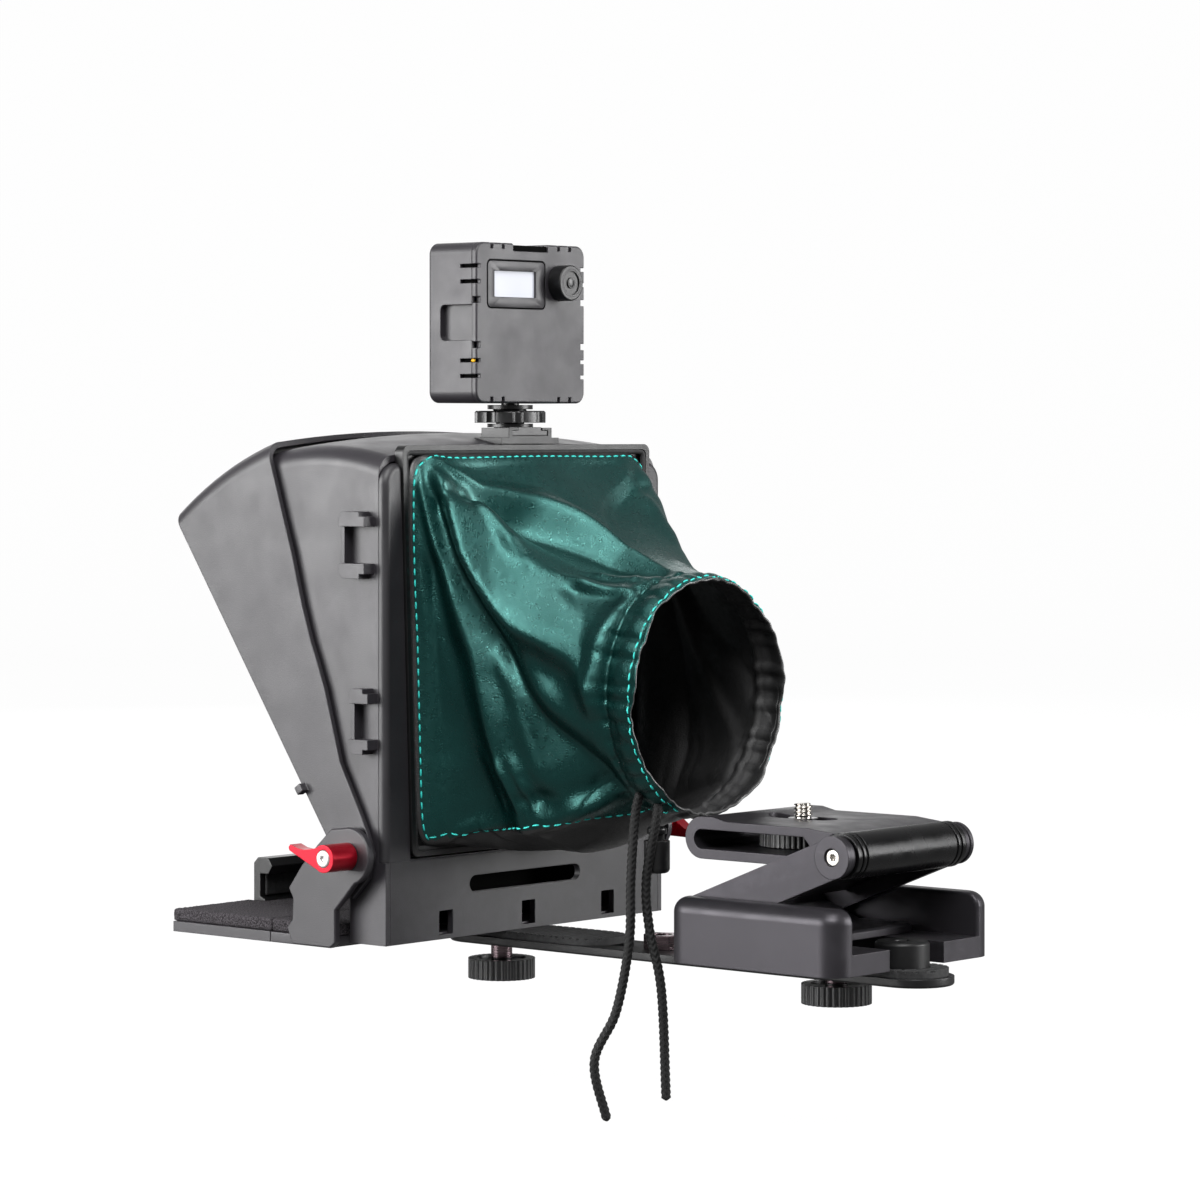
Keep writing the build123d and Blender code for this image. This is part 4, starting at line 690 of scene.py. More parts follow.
def fold_height(u, v, mirrored):
    """height of the folds over the base surface; mirrored puts them on the -X side"""
    if mirrored:
        u = 0.5 - u
    u = (u + 0.5) % 1.0 - 0.5
    points = hood_base(u, v)
    height = np.zeros_like(u)
    for line, peak, below, above, (start, end), power in FOLDS:
        distance, along = distance_to_line(points, u, v, line)
        strength = np.interp(along, [0, 0.25, 0.8, 1.0], [start, 1.0, 1.0, end])
        # folds start narrow and widen along their line
        width = np.where(distance > 0, above, below)
        width = width * np.interp(along, [0, 0.35, 1.0], [0.40, 1.0, 1.2])
        height = height + peak * strength * np.exp(-(np.abs(distance) / width) ** power)
    return height


def pucker_depth(u):
    """34 narrow dents of random place and depth round the drawstring channel"""
    random = np.random.RandomState(7)
    places = np.cumsum(random.uniform(0.6, 1.4, 34))
    places = places / places[-1]
    depths = random.uniform(0.35, 1.0, 34)
    puckers = np.zeros_like(u)
    for place, depth in zip(places, depths):
        offset = np.abs((u - place + 0.5) % 1.0 - 0.5)
        puckers -= depth * np.exp(-(offset / 0.0055) ** 2)
    return puckers


def relief(u, v):
    """height of everything that lies on the base surface"""
    cos = np.cos(2 * np.pi * u)
    side_share = 1 / (1 + np.exp(-cos * 26))  # 1 on the +X side, 0 on the -X side
    far = fold_height(u, v, mirrored=True) * FAR_SIDE_STRENGTH
    h = fold_height(u, v, mirrored=False) * side_share + far * (1 - side_share)

    # general sag between the rim and the throat, deeper at the corners
    corner = np.abs(np.sin(4 * np.pi * u)) ** 3
    centred_u = (u + 0.5) % 1.0 - 0.5
    span = np.sin(np.pi * np.clip(v / 0.86, 0, 1))
    h -= span * (1.6 + 2.4 * corner * (np.abs(centred_u - 0.375) > 0.13))

    # baggy underside with soft waves
    under = np.exp(-(np.abs(centred_u + 0.25) / 0.105) ** 4)
    h += under * np.interp(v, [0, 0.12, 0.35, 0.6, 0.78, 0.87, 1],
                           [0, 1.5, 3.0, 2.6, 1.6, 0.4, 0])
    h += 1.6 * under * np.sin(2 * np.pi * (v * 2.3 + centred_u * 4.0)) * span

    # long soft wrinkles on top and below
    wrinkle = 1.5 * np.sin(2 * np.pi * (u * 9 + 0.6 * v))
    h += wrinkle * np.sin(np.pi * v) * (1 - np.abs(cos)) ** 0.5

    # flat where the rim grips it, and nearly flat from the seam on
    h *= np.clip(v / 0.10, 0, 1) ** 0.8
    fade = 1 - np.clip((v - 0.80) / 0.06, 0, 1)
    h = h * (0.12 + 0.88 * fade)

    # drawstring channel: soft tube, puckers across it, groove of the seam
    puckers = pucker_depth(u)
    band = np.clip((v - SEAM_V + 0.03) / 0.03, 0, 1)
    tube = np.exp(-(((v - 0.925) / 0.045) ** 2))
    h += 1.5 * tube + puckers * 1.7 * band * (0.35 + 0.65 * tube)
    h += puckers * 0.9 * np.exp(-np.clip(SEAM_V - v, 0, 1) / 0.05) * (v < SEAM_V)
    h -= 1.1 * np.exp(-(((v - SEAM_V) / 0.010) ** 2))
    return h


def hood_surface():
    """grid of points of the folded hood"""
    round_u = np.arange(HOOD_COLUMNS) / HOOD_COLUMNS
    u, v = np.meshgrid(round_u, np.linspace(0, 1, HOOD_ROWS), indexing="ij")
    points = hood_base(u, v)
    step_u = np.roll(points, -1, 0) - np.roll(points, 1, 0)
    step_v = np.gradient(points, axis=1)
    normals = np.cross(step_v, step_u)
    normals /= np.linalg.norm(normals, axis=2, keepdims=True) + 1e-9
    centre = np.array([0, 0, HOOD_CENTRE_Z])
    outward = ((points - centre) * normals * np.array([1, 0, 1])).sum(2, keepdims=True)
    normals *= np.sign(outward)
    points = points + normals * relief(u, v)[..., None]
    # the throat's edge is slightly uneven
    ripple = 0.8 * np.sin(2 * np.pi * round_u * 5) + 0.5 * np.sin(2 * np.pi * round_u * 13)
    points[:, -3:, 1] += ripple[:, None] * np.array([0.3, 0.7, 1.0]) - 0.9
    return points


# ------------------------------------------------------------------ cloth hood: relaxing
HELD_ROW = 88             # from this row to the throat the sheet is held
MAX_MOVE = 6.0 * MM
CLOTH_SETTINGS = {
    "quality": 6,
    "mass": 0.25,
    "tension_stiffness": 18,
    "compression_stiffness": 18,
    "shear_stiffness": 6,
    "bending_stiffness": 6.0,
    "shrink_min": -0.012,  # negative grows the sheet
    "vertex_group_mass": "pin",
}


def simulate(coords, faces):
    """positions of the vertices after the sheet has relaxed, held at both edges"""
    sheet = bpy.data.objects.new("hood_sim", make_mesh("hood_sim", coords, faces))
    scene.collection.objects.link(sheet)
    group = sheet.vertex_groups.new(name="pin")
    pin = np.zeros((HOOD_COLUMNS, HOOD_ROWS))
    pin[:, :3] = 1.0
    pin[:, HELD_ROW:] = 1.0
    pin[:, HELD_ROW - 2:HELD_ROW] = 0.6
    for weight in (0.6, 1.0):
        held = np.flatnonzero(pin.ravel() == weight)
        group.add([int(index) for index in held], weight, "REPLACE")
    cloth = sheet.modifiers.new("cloth", "CLOTH")
    for key, value in CLOTH_SETTINGS.items():
        setattr(cloth.settings, key, value)
    cloth.settings.effector_weights.gravity = 0.35
    cloth.collision_settings.use_collision = False
    cloth.collision_settings.use_self_collision = False
    scene.frame_start, scene.frame_end = 1, 24
    cloth.point_cache.frame_start, cloth.point_cache.frame_end = 1, 24
    for number in range(1, 15):
        scene.frame_set(number)
    depsgraph = bpy.context.evaluated_depsgraph_get()
    relaxed = sheet.evaluated_get(depsgraph).to_mesh()
    result = np.zeros(len(relaxed.vertices) * 3)
    relaxed.vertices.foreach_get("co", result)
    bpy.data.objects.remove(sheet)
    scene.frame_set(1)
    return result.reshape(-1, 3)


def relax(coords, faces):
    """the sheet is a little longer than the gap between its held edges, so it buckles"""
    rows = HOOD_ROWS
    move = (simulate(coords, faces) - coords).reshape(HOOD_COLUMNS, rows, 3)
    # only the broad part is kept, so it stays thick leather rather than thin film
    for _ in range(3):
        move = (np.roll(move, 2, 0) + np.roll(move, -2, 0)
                + np.roll(move, 4, 0) + np.roll(move, -4, 0) + move) / 5
        pad = np.pad(move, ((0, 0), (4, 4), (0, 0)), "edge")
        move = (pad[:, 0:rows] + pad[:, 2:rows + 2] + pad[:, 4:rows + 4]
                + pad[:, 6:rows + 6] + pad[:, 8:rows + 8]) / 5
    row = np.arange(rows)
    freedom = np.clip(np.minimum(row / 6.0, (HELD_ROW - row) / 6.0), 0, 1)
    move = (move * freedom[None, :, None]).reshape(-1, 3)
    length = np.linalg.norm(move, axis=1, keepdims=True) + 1e-9
    return coords + move * np.minimum(1.0, MAX_MOVE / length)


# ------------------------------------------------------------------ cloth hood: cover
# v, and the u where the teal side panel meets the black underside, on the +X side
PANEL_EDGE_V = [0, 0.05, 0.1, 0.2, 0.3, 0.4, 0.5, 0.6, 0.65, 0.7, 0.75, 0.8, 0.86, 0.9, 1.0]
PANEL_EDGE_U = [-0.126, -0.1305, -0.134, -0.1425, -0.1395, -0.127, -0.125, -0.133,
                -0.160, -0.180, -0.195, -0.201, -0.196, -0.188, -0.187]
RIM_BAND_V = 0.018        # the hood is black from the rim to here


def panel_edge_u(v):
    return float(np.interp(v, PANEL_EDGE_V, PANEL_EDGE_U))


def hood_faces():
    faces = []
    for i in range(HOOD_COLUMNS):
        this = i * HOOD_ROWS
        after = (i + 1) % HOOD_COLUMNS * HOOD_ROWS
        for j in range(HOOD_ROWS - 1):
            faces.append((this + j, this + j + 1, after + j + 1, after + j))
    return faces


def paint_panels(mesh):
    """material 0 on the sides and top, 1 on the underside and along the rim"""
    for face in mesh.polygons:
        i, j = divmod(face.index, HOOD_ROWS - 1)
        v = (j + 0.5) / (HOOD_ROWS - 1)
        u = ((i + 0.5) / HOOD_COLUMNS + 0.5) % 1.0 - 0.5
        if abs(u) > 0.25:
            # mirror the -X side onto the +X side
            u = 0.5 - u if u > 0 else -0.5 - u
        face.material_index = 1 if (u < panel_edge_u(v) or v < RIM_BAND_V) else 0


def turn_outward(mesh):
    bm = bmesh.new()
    bm.from_mesh(mesh)
    bmesh.ops.recalc_face_normals(bm, faces=bm.faces)
    bm.faces.ensure_lookup_table()
    face = bm.faces[0]
    middle = face.calc_center_median()
    if face.normal.dot(middle - Vector((0, middle.y, HOOD_CENTRE_Z * MM))) < 0:
        bmesh.ops.reverse_faces(bm, faces=bm.faces)
    bm.to_mesh(mesh)
    bm.free()


def add_hood(coords, faces):
    mesh = make_mesh("cloth_hood_cover", coords, faces)
    materials = [MATS["leather"], MATS["leather_black"], MATS["lining"]]
    hood = add_object("cloth_hood_cover", mesh, materials, "root")
    paint_panels(mesh)
    turn_outward(mesh)
    solid = hood.modifiers.new("thickness", "SOLIDIFY")
    solid.thickness = 1.1 * MM
    solid.offset = -1
    solid.material_offset = 2
    solid.material_offset_rim = 1
    solid.use_rim = True
    smooth = hood.modifiers.new("smooth", "SUBSURF")
    smooth.levels = 0
    smooth.render_levels = 1
    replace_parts(hood, "cloth_hood")
    return hood


hood_coords = hood_surface().reshape(-1, 3) * MM
hood_quads = hood_faces()
hood_coords = relax(hood_coords, hood_quads)
hood_grid = hood_coords.reshape(HOOD_COLUMNS, HOOD_ROWS, 3)
hood_cover = add_hood(hood_coords, hood_quads)


# ------------------------------------------------------------------ cloth hood: stitches
def hood_at(u, v):
    """point and outward normal on the finished hood, in metres"""
    column = (u % 1.0) * HOOD_COLUMNS
    row = min(max(v, 0.0), 1.0) * (HOOD_ROWS - 1)
    i, j = int(column) % HOOD_COLUMNS, min(int(row), HOOD_ROWS - 2)
    a, b = column - int(column), row - j
    i2 = (i + 1) % HOOD_COLUMNS
    grid = hood_grid
    point = ((grid[i, j] * (1 - a) + grid[i2, j] * a) * (1 - b)
             + (grid[i, j + 1] * (1 - a) + grid[i2, j + 1] * a) * b)
    normal = np.cross(grid[i, j + 1] - grid[i, j], grid[i2, j] - grid[i, j])
    normal /= np.linalg.norm(normal) + 1e-12
    if np.dot(normal, point - np.array([0, point[1], HOOD_CENTRE_Z * MM])) < 0:
        normal = -normal
    return Vector(point), Vector(normal)


def hood_path(line, samples=240):
    """(point, normal) pairs on the hood along a line of (u, v) points"""
    points = np.array(line, float)
    distance = np.r_[0, np.cumsum(np.hypot(np.diff(points[:, 0]) * 3.5, np.diff(points[:, 1])))]
    along = np.linspace(0, distance[-1], samples)
    return [hood_at(float(u), float(v))
            for u, v in zip(np.interp(along, distance, points[:, 0]),
                            np.interp(along, distance, points[:, 1]))]


STITCH_SIDES = 6
# place along a stitch, share of its full radius
STITCH_PROFILE = [(0.0, 0.35), (0.12, 0.8), (0.5, 1.0), (0.88, 0.8), (1.0, 0.35)]


def add_stitches(name, path, material, dash=2.5, gap=1.3, radius=0.34, lift=0.12):
    """short raised threads along a path of (point, normal) pairs"""
    points = [point for point, _ in path]
    lengths = path_lengths(points)
    total = lengths[-1]

    def at(distance):
        k, part = locate(lengths, distance)
        normal = path[k][1].lerp(path[k + 1][1], part).normalized()
        return points[k].lerp(points[k + 1], part), normal

    verts, faces = [], []
    start = 0.3
    while start + dash < total:
        faces += capped_faces(len(STITCH_PROFILE), STITCH_SIDES, first=len(verts))
        for along, swell in STITCH_PROFILE:
            here = start + dash * along
            point, normal = at(here)
            step = at(min(here + 0.1, total))[0] - point
            tangent = step.normalized() if step.length > 1e-9 else Vector((0, 0, 1))
            side = normal.cross(tangent).normalized()
            sink = 0.18 * abs(along - 0.5) * 2  # the ends dip into the leather
            centre = point + normal * (lift - sink) * MM
            for cos, sin in circle(STITCH_SIDES):
                verts.append(centre + (side * cos + normal * sin * 0.8) * radius * swell * MM)
        start += dash + gap
    mesh = make_mesh(name, verts, faces)
    return add_object(name, mesh, [material], "root")


RIM_STITCH_V = 0.026
THROAT_STITCH_V = 0.972
panel_line = [(panel_edge_u(v) + 0.003, v) for v in np.linspace(0.03, 0.965, 60)]
far_panel_line = [(0.5 - panel_edge_u(v) - 0.003, v) for v in np.linspace(0.03, 0.965, 60)]
rim_line = [(-0.128, RIM_STITCH_V), (0.628, RIM_STITCH_V)]
throat_line = [(-0.19, THROAT_STITCH_V), (0.69, THROAT_STITCH_V)]
add_stitches("hood_stitch_rim", hood_path(rim_line, 900), MATS["stitch"])
add_stitches("hood_stitch_low_right", hood_path(panel_line), MATS["stitch"])
add_stitches("hood_stitch_low_left", hood_path(far_panel_line), MATS["stitch"])
add_stitches("hood_stitch_throat", hood_path(throat_line, 700), MATS["stitch"])
add_stitches("hood_stitch_channel", hood_path([(0.0, SEAM_V), (0.999, SEAM_V)], 900),
             MATS["leather_black"], dash=1.6, gap=1.1, radius=0.22, lift=0.1)


# ------------------------------------------------------------------ braided cords
# points (x, y, z) that the two tails of the drawstring hang through
TAIL_A = [
    (26, 12.2, 59.2), (26.3, 10, 50), (27.5, 9.2, 29), (28, 9, 9), (31, 5.8, -14.6),
    (37, 1.3, -31.4), (33, 3.5, -51.5),
]
TAIL_B = [
    (21.6, 16.0, 57.0), (22, 15.9, 50), (22.5, 11.8, 29), (22, 12.8, 12.3),
    (20, 16.3, -7.9), (19, 17.6, -44.8),
]
CORD_RADIUS = 1.62
CORD_STEP = 0.25          # distance between rings
CORD_SIDES = 32
CORD_STRANDS = 8
STRAND_PITCH = 2.0        # length of one strand's pattern along the cord


def catmull(controls, steps):
    """smooth path through the control points"""
    points = [Vector(control) for control in controls]
    points = [points[0] * 2 - points[1]] + points + [points[-1] * 2 - points[-2]]
    path = []
    for a, b, c, d in zip(points, points[1:], points[2:], points[3:]):
        for k in range(steps):
            t = k / steps
            path.append(0.5 * ((2 * b) + (c - a) * t + (2 * a - 5 * b + 4 * c - d) * t * t
                               + (3 * b - a - 3 * c + d) * t ** 3))
    path.append(points[-2])
    return path


def add_cord(name, controls):
    """braided cord: columns of V-shaped strands pressed into one round cord"""
    path = catmull([mm(*control) for control in controls], 60)
    lengths = path_lengths(path)
    total = lengths[-1]
    steps = int(total / CORD_STEP)
    verts = []
    up = Vector((0, 1, 0))
    for i in range(steps + 1):
        distance = total * i / steps
        k, part = locate(lengths, distance)
        centre = path[k].lerp(path[k + 1], part)
        tangent = (path[k + 1] - path[k]).normalized()
        side = up.cross(tangent).normalized()
        up = tangent.cross(side).normalized()
        end = min(1.0, distance, (total - distance) / 1.2 + 0.25)
        for q, (cos, sin) in enumerate(circle(CORD_SIDES)):
            strand = CORD_STRANDS * q / CORD_SIDES
            slant = abs(strand % 2 - 1)
            weave = 0.5 + 0.5 * math.cos(2 * math.pi * (distance / STRAND_PITCH + 0.75 * slant))
            column = 0.5 + 0.5 * math.cos(2 * math.pi * strand)
            radius = CORD_RADIUS * (0.82 + 0.17 * weave + 0.05 * column) * end
            verts.append(centre + (side * cos + up * sin) * radius * MM)
    mesh = make_mesh(name, verts, capped_faces(steps + 1, CORD_SIDES))
    return add_object(name, mesh, [MATS["cord"]], "root")


tail_a = add_cord("drawstring_tail_a", TAIL_A)
tail_b = add_cord("drawstring_tail_b", TAIL_B)
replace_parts(tail_a, "drawstring_cord")
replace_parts(tail_b, "drawstring_cord")


# ------------------------------------------------------------------ foam and pads
def add_soft_sheet(name, node, body, material, voxel, smoothing, swell, grain):
    """soft sheet grown from a CAD solid: remeshed, edges rounded over, faces slightly uneven

    voxel is the cell size, smoothing the number of passes that round the edges, swell
    and grain the heights of the broad and of the fine unevenness
    """
    source = PIECES[node].data.copy()
    source.name = name
    solid = bpy.data.objects.new(name, source)
    scene.collection.objects.link(solid)
    add_weld(solid, "w")
    remesh = solid.modifiers.new("r", "REMESH")
    remesh.mode = "VOXEL"
    remesh.voxel_size = voxel * MM
    remesh.use_smooth_shade = True
    smooth = solid.modifiers.new("s", "SMOOTH")
    smooth.factor = 0.5
    smooth.iterations = smoothing
    depsgraph = bpy.context.evaluated_depsgraph_get()
    mesh = bpy.data.meshes.new_from_object(solid.evaluated_get(depsgraph))
    bpy.data.objects.remove(solid)

    coords = np.zeros(len(mesh.vertices) * 3)
    mesh.vertices.foreach_get("co", coords)
    coords = coords.reshape(-1, 3)
    normals = np.zeros(len(mesh.vertices) * 3)
    mesh.vertices.foreach_get("normal", normals)
    normals = normals.reshape(-1, 3)
    for i, normal in enumerate(normals):
        point = Vector(coords[i])
        height = (noise.noise(point * 900) * grain + noise.noise(point * 2300) * grain * 0.5
                  + noise.noise(point * 60) * swell)
        # full strength on the top face, less on the sides, least underneath
        strength = 0.25 + 0.75 * max(normal[2], 0.0) if abs(normal[2]) > 0.4 else 0.6
        coords[i] += normal * (height - 0.10) * MM * strength
    low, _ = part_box(node)
    coords[:, 2] = np.maximum(coords[:, 2], low.z)
    mesh.vertices.foreach_set("co", coords.ravel())
    mesh.name = name
    mesh.materials.clear()
    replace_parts(add_object(name, mesh, [material], body), node)


# name, CAD piece, body
for name, node, body in (("tray_foam_sheet", "tray_foam", "tray"),
                         ("extension_foam_sheet", "extension_foam", "tray_extension")):
    add_soft_sheet(name, node, body, MATS["foam"],
                   voxel=0.7, smoothing=2, swell=0.15, grain=0.16)
for name, node, body in (("rear_jaw_pad_strip", "rear_jaw_pad", "rear_jaw"),
                         ("front_jaw_pad_strip", "front_jaw_pad", "tray_extension")):
    add_soft_sheet(name, node, body, MATS["rubber"],
                   voxel=0.35, smoothing=4, swell=0.06, grain=0.06)


# ------------------------------------------------------------------ turned and threaded parts
THREAD_SIDES = 64
THREAD_RUN_OUT = 0.6      # length over which the top end narrows
LATHE_SIDES = 72


def add_thread(name, x, y, z0, z1, radius, pitch, depth, material, body):
    """helical thread along Z with a closed core, narrowing at its top end"""
    steps = max(int((z1 - z0) / (pitch / 10)), 8)
    verts = []
    for i in range(steps + 1):
        z = z0 + (z1 - z0) * i / steps
        end = min(1.0, (z1 - z) / THREAD_RUN_OUT)
        for k, (cos, sin) in enumerate(circle(THREAD_SIDES)):
            phase = ((z - z0) / pitch - k / THREAD_SIDES) % 1.0
            # flat crest with sloping flanks
            crest = min(1.0, max(0.0, 1.35 - abs(phase - 0.5) * 4.2))
            here = (radius - depth * (1 - crest)) * (0.90 + 0.10 * end)
            verts.append(mm(x + here * cos, y + here * sin, z))
    mesh = make_mesh(name, verts, capped_faces(steps + 1, THREAD_SIDES))
    return add_object(name, mesh, [material], body)


def add_lathe(name, centre, profile, material, body, axis="Z", ring=False):
    """turned piece from (radius, height) points; the centre is (x, y), or (x, z) for axis Y"""
    verts = []
    for radius, height in profile:
        for cos, sin in circle(LATHE_SIDES):
            across, along = centre[0] + radius * cos, centre[1] + radius * sin
            if axis == "Z":
                verts.append(mm(across, along, height))
            else:
                verts.append(mm(across, height, along))
    faces = ring_faces(len(profile), LATHE_SIDES, loop=ring)
    if not ring:
        last = (len(profile) - 1) * LATHE_SIDES
        faces += [tuple(range(LATHE_SIDES)), tuple(range(last, last + LATHE_SIDES))]
    mesh = make_mesh(name, verts, faces, fix_normals=True)
    return add_object(name, mesh, [material], body, sharp=35)


def add_camera_stud():
    stud = Box("camera_stud")
    neck_top = stud.z1 - 4.6
    threaded = add_thread("camera_stud_thread", stud.mid_x, stud.mid_y, neck_top, stud.z1,
                          radius=3.17, pitch=1.27, depth=0.62,
                          material=MATS["screw"], body="camera_screw")
    profile = [(1.0, stud.z0), (2.5, stud.z0), (2.6, stud.z0 + 0.2),
               (2.6, neck_top - 0.1), (2.4, neck_top + 0.3), (1.0, neck_top + 0.3)]
    neck = add_lathe("camera_stud_neck", (stud.mid_x, stud.mid_y), profile,
                     MATS["screw"], "camera_screw")
    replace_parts(threaded, "camera_stud")
    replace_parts(neck, "camera_stud")


add_camera_stud()


# ------------------------------------------------------------------ plates and blocks
def rounded_outline(x0, x1, y0, y1, radius, steps):
    """outline of a rounded rectangle, from the middle of its high-x side round to high y"""
    points = []
    corners = ((x1 - radius, y1 - radius), (x0 + radius, y1 - radius),
               (x0 + radius, y0 + radius), (x1 - radius, y0 + radius))
    for quarter, (x, y) in enumerate(corners):
        for i in range(steps + 1):
            angle = math.radians(90 * quarter + 90 * i / steps)
            points.append((x + radius * math.cos(angle), y + radius * math.sin(angle)))
    return points


def add_frame_plate(name, outer, inner, y0, y1, edge, material):
    """flat frame of the light between two (x, z) outlines, with rounded edges at y1"""
    count = len(outer)
    centre_x = sum(point[0] for point in outer) / count
    centre_z = sum(point[1] for point in outer) / count

    def shrink(outline, amount):
        result = []
        for x, z in outline:
            dx, dz = x - centre_x, z - centre_z
            length = math.hypot(dx, dz)
            result.append((x - dx / length * amount, z - dz / length * amount))
        return result

    loops = [
        (outer, y0),
        (outer, y1 - edge),
        (shrink(outer, edge * 0.3), y1 - edge * 0.3),
        (shrink(outer, edge), y1),
        (shrink(inner, -edge), y1),
        (shrink(inner, -edge * 0.3), y1 - edge * 0.3),
        (inner, y1 - edge),
        (inner, y0),
    ]
    verts = [mm(x, y, z) for outline, y in loops for x, z in outline]
    faces = ring_faces(len(loops), count, loop=True)
    mesh = make_mesh(name, verts, faces, fix_normals=True)
    add_object(name, mesh, [material], "light", sharp=40)


def add_shade_block(name, x, y, z, radius, body):
    """small near-black block with rounded edges, painted shade inside a recess; x, y and z are (low,
    high)
    """
    verts = []
    layers = [
        (z[0], radius), (z[0] + radius * 0.3, radius * 0.3), (z[0] + radius, 0.0),
        (z[1] - radius, 0.0), (z[1] - radius * 0.3, radius * 0.3), (z[1], radius),
    ]
    for height, inset in layers:
        outline = rounded_outline(x[0] + inset, x[1] - inset, y[0] + inset, y[1] - inset,
                                  radius - inset, steps=4)
        verts += [mm(px, py, height) for px, py in outline]
    mesh = make_mesh(name, verts, capped_faces(len(layers), len(outline)))
    add_object(name, mesh, [MATS["matte"]], body)


# ------------------------------------------------------------------ light
cover = Box("led_back_cover")
dial = Box("led_dial")
# screen bezel, in a recess of the back cover
BEZEL_X, BEZEL_Z = 7.75, 231.0
BEZEL_HALF_WIDTH, BEZEL_HALF_HEIGHT = 14.85, 8.1
BEZEL_CORNER = 1.7
BEZEL_STEP = 0.6          # longest gap between outline points
DIAL_CLEARANCE = 8.2      # the bezel keeps this far from the dial's centre
WINDOW_INSET = 0.25       # the frame overlaps the screen by this much
GROOVE = 0.45             # width of the near-black ring of painted shade round the bezel


def bezel_outline():
    corners = rounded_outline(BEZEL_X - BEZEL_HALF_WIDTH, BEZEL_X + BEZEL_HALF_WIDTH,
                              BEZEL_Z - BEZEL_HALF_HEIGHT, BEZEL_Z + BEZEL_HALF_HEIGHT,
                              BEZEL_CORNER, steps=8)
    outline = []
    for (x0, z0), (x1, z1) in zip(corners, corners[1:] + corners[:1]):
        steps = max(1, int(math.hypot(x1 - x0, z1 - z0) / BEZEL_STEP))
        for i in range(steps):
            x = x0 + (x1 - x0) * i / steps
            z = z0 + (z1 - z0) * i / steps
            distance = math.hypot(x - dial.mid_x, z - dial.mid_z)
            if distance < DIAL_CLEARANCE:
                push = DIAL_CLEARANCE / max(distance, 1e-6)
                x = dial.mid_x + (x - dial.mid_x) * push
                z = dial.mid_z + (z - dial.mid_z) * push
            outline.append((x, z))
    return outline


def window_outline(outer):
    """edge of the screen window, one point in the direction of each outer point"""
    window = Box("led_screen")
    half_width = (window.x1 - window.x0) / 2 - WINDOW_INSET
    half_height = (window.z1 - window.z0) / 2 - WINDOW_INSET
    outline = []
    for x, z in outer:
        angle = math.atan2(z - window.mid_z, x - window.mid_x)
        cos, sin = math.cos(angle), math.sin(angle)
        reach = min(half_width / max(abs(cos), 1e-6), half_height / max(abs(sin), 1e-6))
        outline.append((window.mid_x + cos * reach, window.mid_z + sin * reach))
    return outline


def groove_outline(bezel):
    outline = []
    for x, z in bezel:
        dx, dz = x - BEZEL_X, z - BEZEL_Z
        length = math.hypot(dx, dz)
        grow = min((BEZEL_HALF_WIDTH + GROOVE) / max(abs(dx), 1e-6),
                   (BEZEL_HALF_HEIGHT + GROOVE) / max(abs(dz), 1e-6),
                   (length + 0.46) / length)
        outline.append((BEZEL_X + dx * grow, BEZEL_Z + dz * grow))
    return outline


def add_bezel():
    bezel = bezel_outline()
    add_frame_plate("light_screen_bezel", bezel, window_outline(bezel),
                    cover.y1 - 0.55, cover.y1 - 0.02, edge=0.1, material=MATS["led"])
    under_bezel = [(BEZEL_X + (x - BEZEL_X) * 0.97, BEZEL_Z + (z - BEZEL_Z) * 0.95)
                   for x, z in bezel]
    # painted shade: a flush near-black ring stands for the shaded groove round the bezel
    add_frame_plate("light_bezel_groove_shade", groove_outline(bezel), under_bezel,
                    cover.y1 - 0.58, cover.y1 - 0.03, edge=0.05, material=MATS["matte"])


def add_notch_shade():
    """painted shade: near-black blocks in the notch on top and behind the side vents darken them"""
    add_shade_block("light_top_notch_shade", (-8.9, 8.9), (cover.y1 - 2.05, cover.y1 - 0.75),
              (cover.z1 - 4.4, cover.z1 - 0.6), 0.25, "light")
    sides = (("right", (cover.x1 - 2.35, cover.x1 - 1.45)),
             ("left", (cover.x0 + 1.45, cover.x0 + 2.35)))
    levels = (("upper", (cover.mid_z + 11.0, cover.z1 - 4.0)),
              ("lower", (cover.z0 + 4.0, cover.mid_z - 11.0)))
    for side, x in sides:
        for level, z in levels:
            add_shade_block(f"light_vent_shade_{level}_{side}", x,
                      (cover.y0 - 10.6, cover.y1 - 1.5), z, 0.2, "light")


def add_dial_parts():
    centre, face = (dial.mid_x, dial.mid_z), dial.y1
    ring = [(4.55, face - 0.3), (4.75, face + 0.02), (4.95, face + 0.02), (5.1, face - 0.3)]
    add_lathe("light_dial_ring", centre, ring, MATS["led"], "light_dial",
              axis="Y", ring=True)
    button = [(0.2, face - 0.5), (1.75, face - 0.5), (1.75, face - 0.15),
              (1.45, face + 0.02), (0.2, face + 0.06)]
    add_lathe("light_dial_button", centre, button, MATS["knob"], "light_dial",
              axis="Y")


def add_charge_indicator():
    """amber oval dome in the lower vent on the +X side"""
    rings, sides = 9, 20
    verts = []
    for i in range(rings):
        angle = math.pi / 2 * i / (rings - 1)
        radius = math.cos(angle) + 0.02
        x = cover.x1 - 1.0 + 0.55 * math.sin(angle)
        for cos, sin in circle(sides):
            verts.append(mm(x, cover.y1 - 2.3 + radius * cos,
                            cover.mid_z - 13.2 + radius * 0.62 * sin))
    faces = ring_faces(rings, sides) + [tuple(reversed(range(sides)))]
    mesh = make_mesh("light_charge_indicator", verts, faces)
    add_object("light_charge_indicator", mesh, [MATS["amber"]], "light")


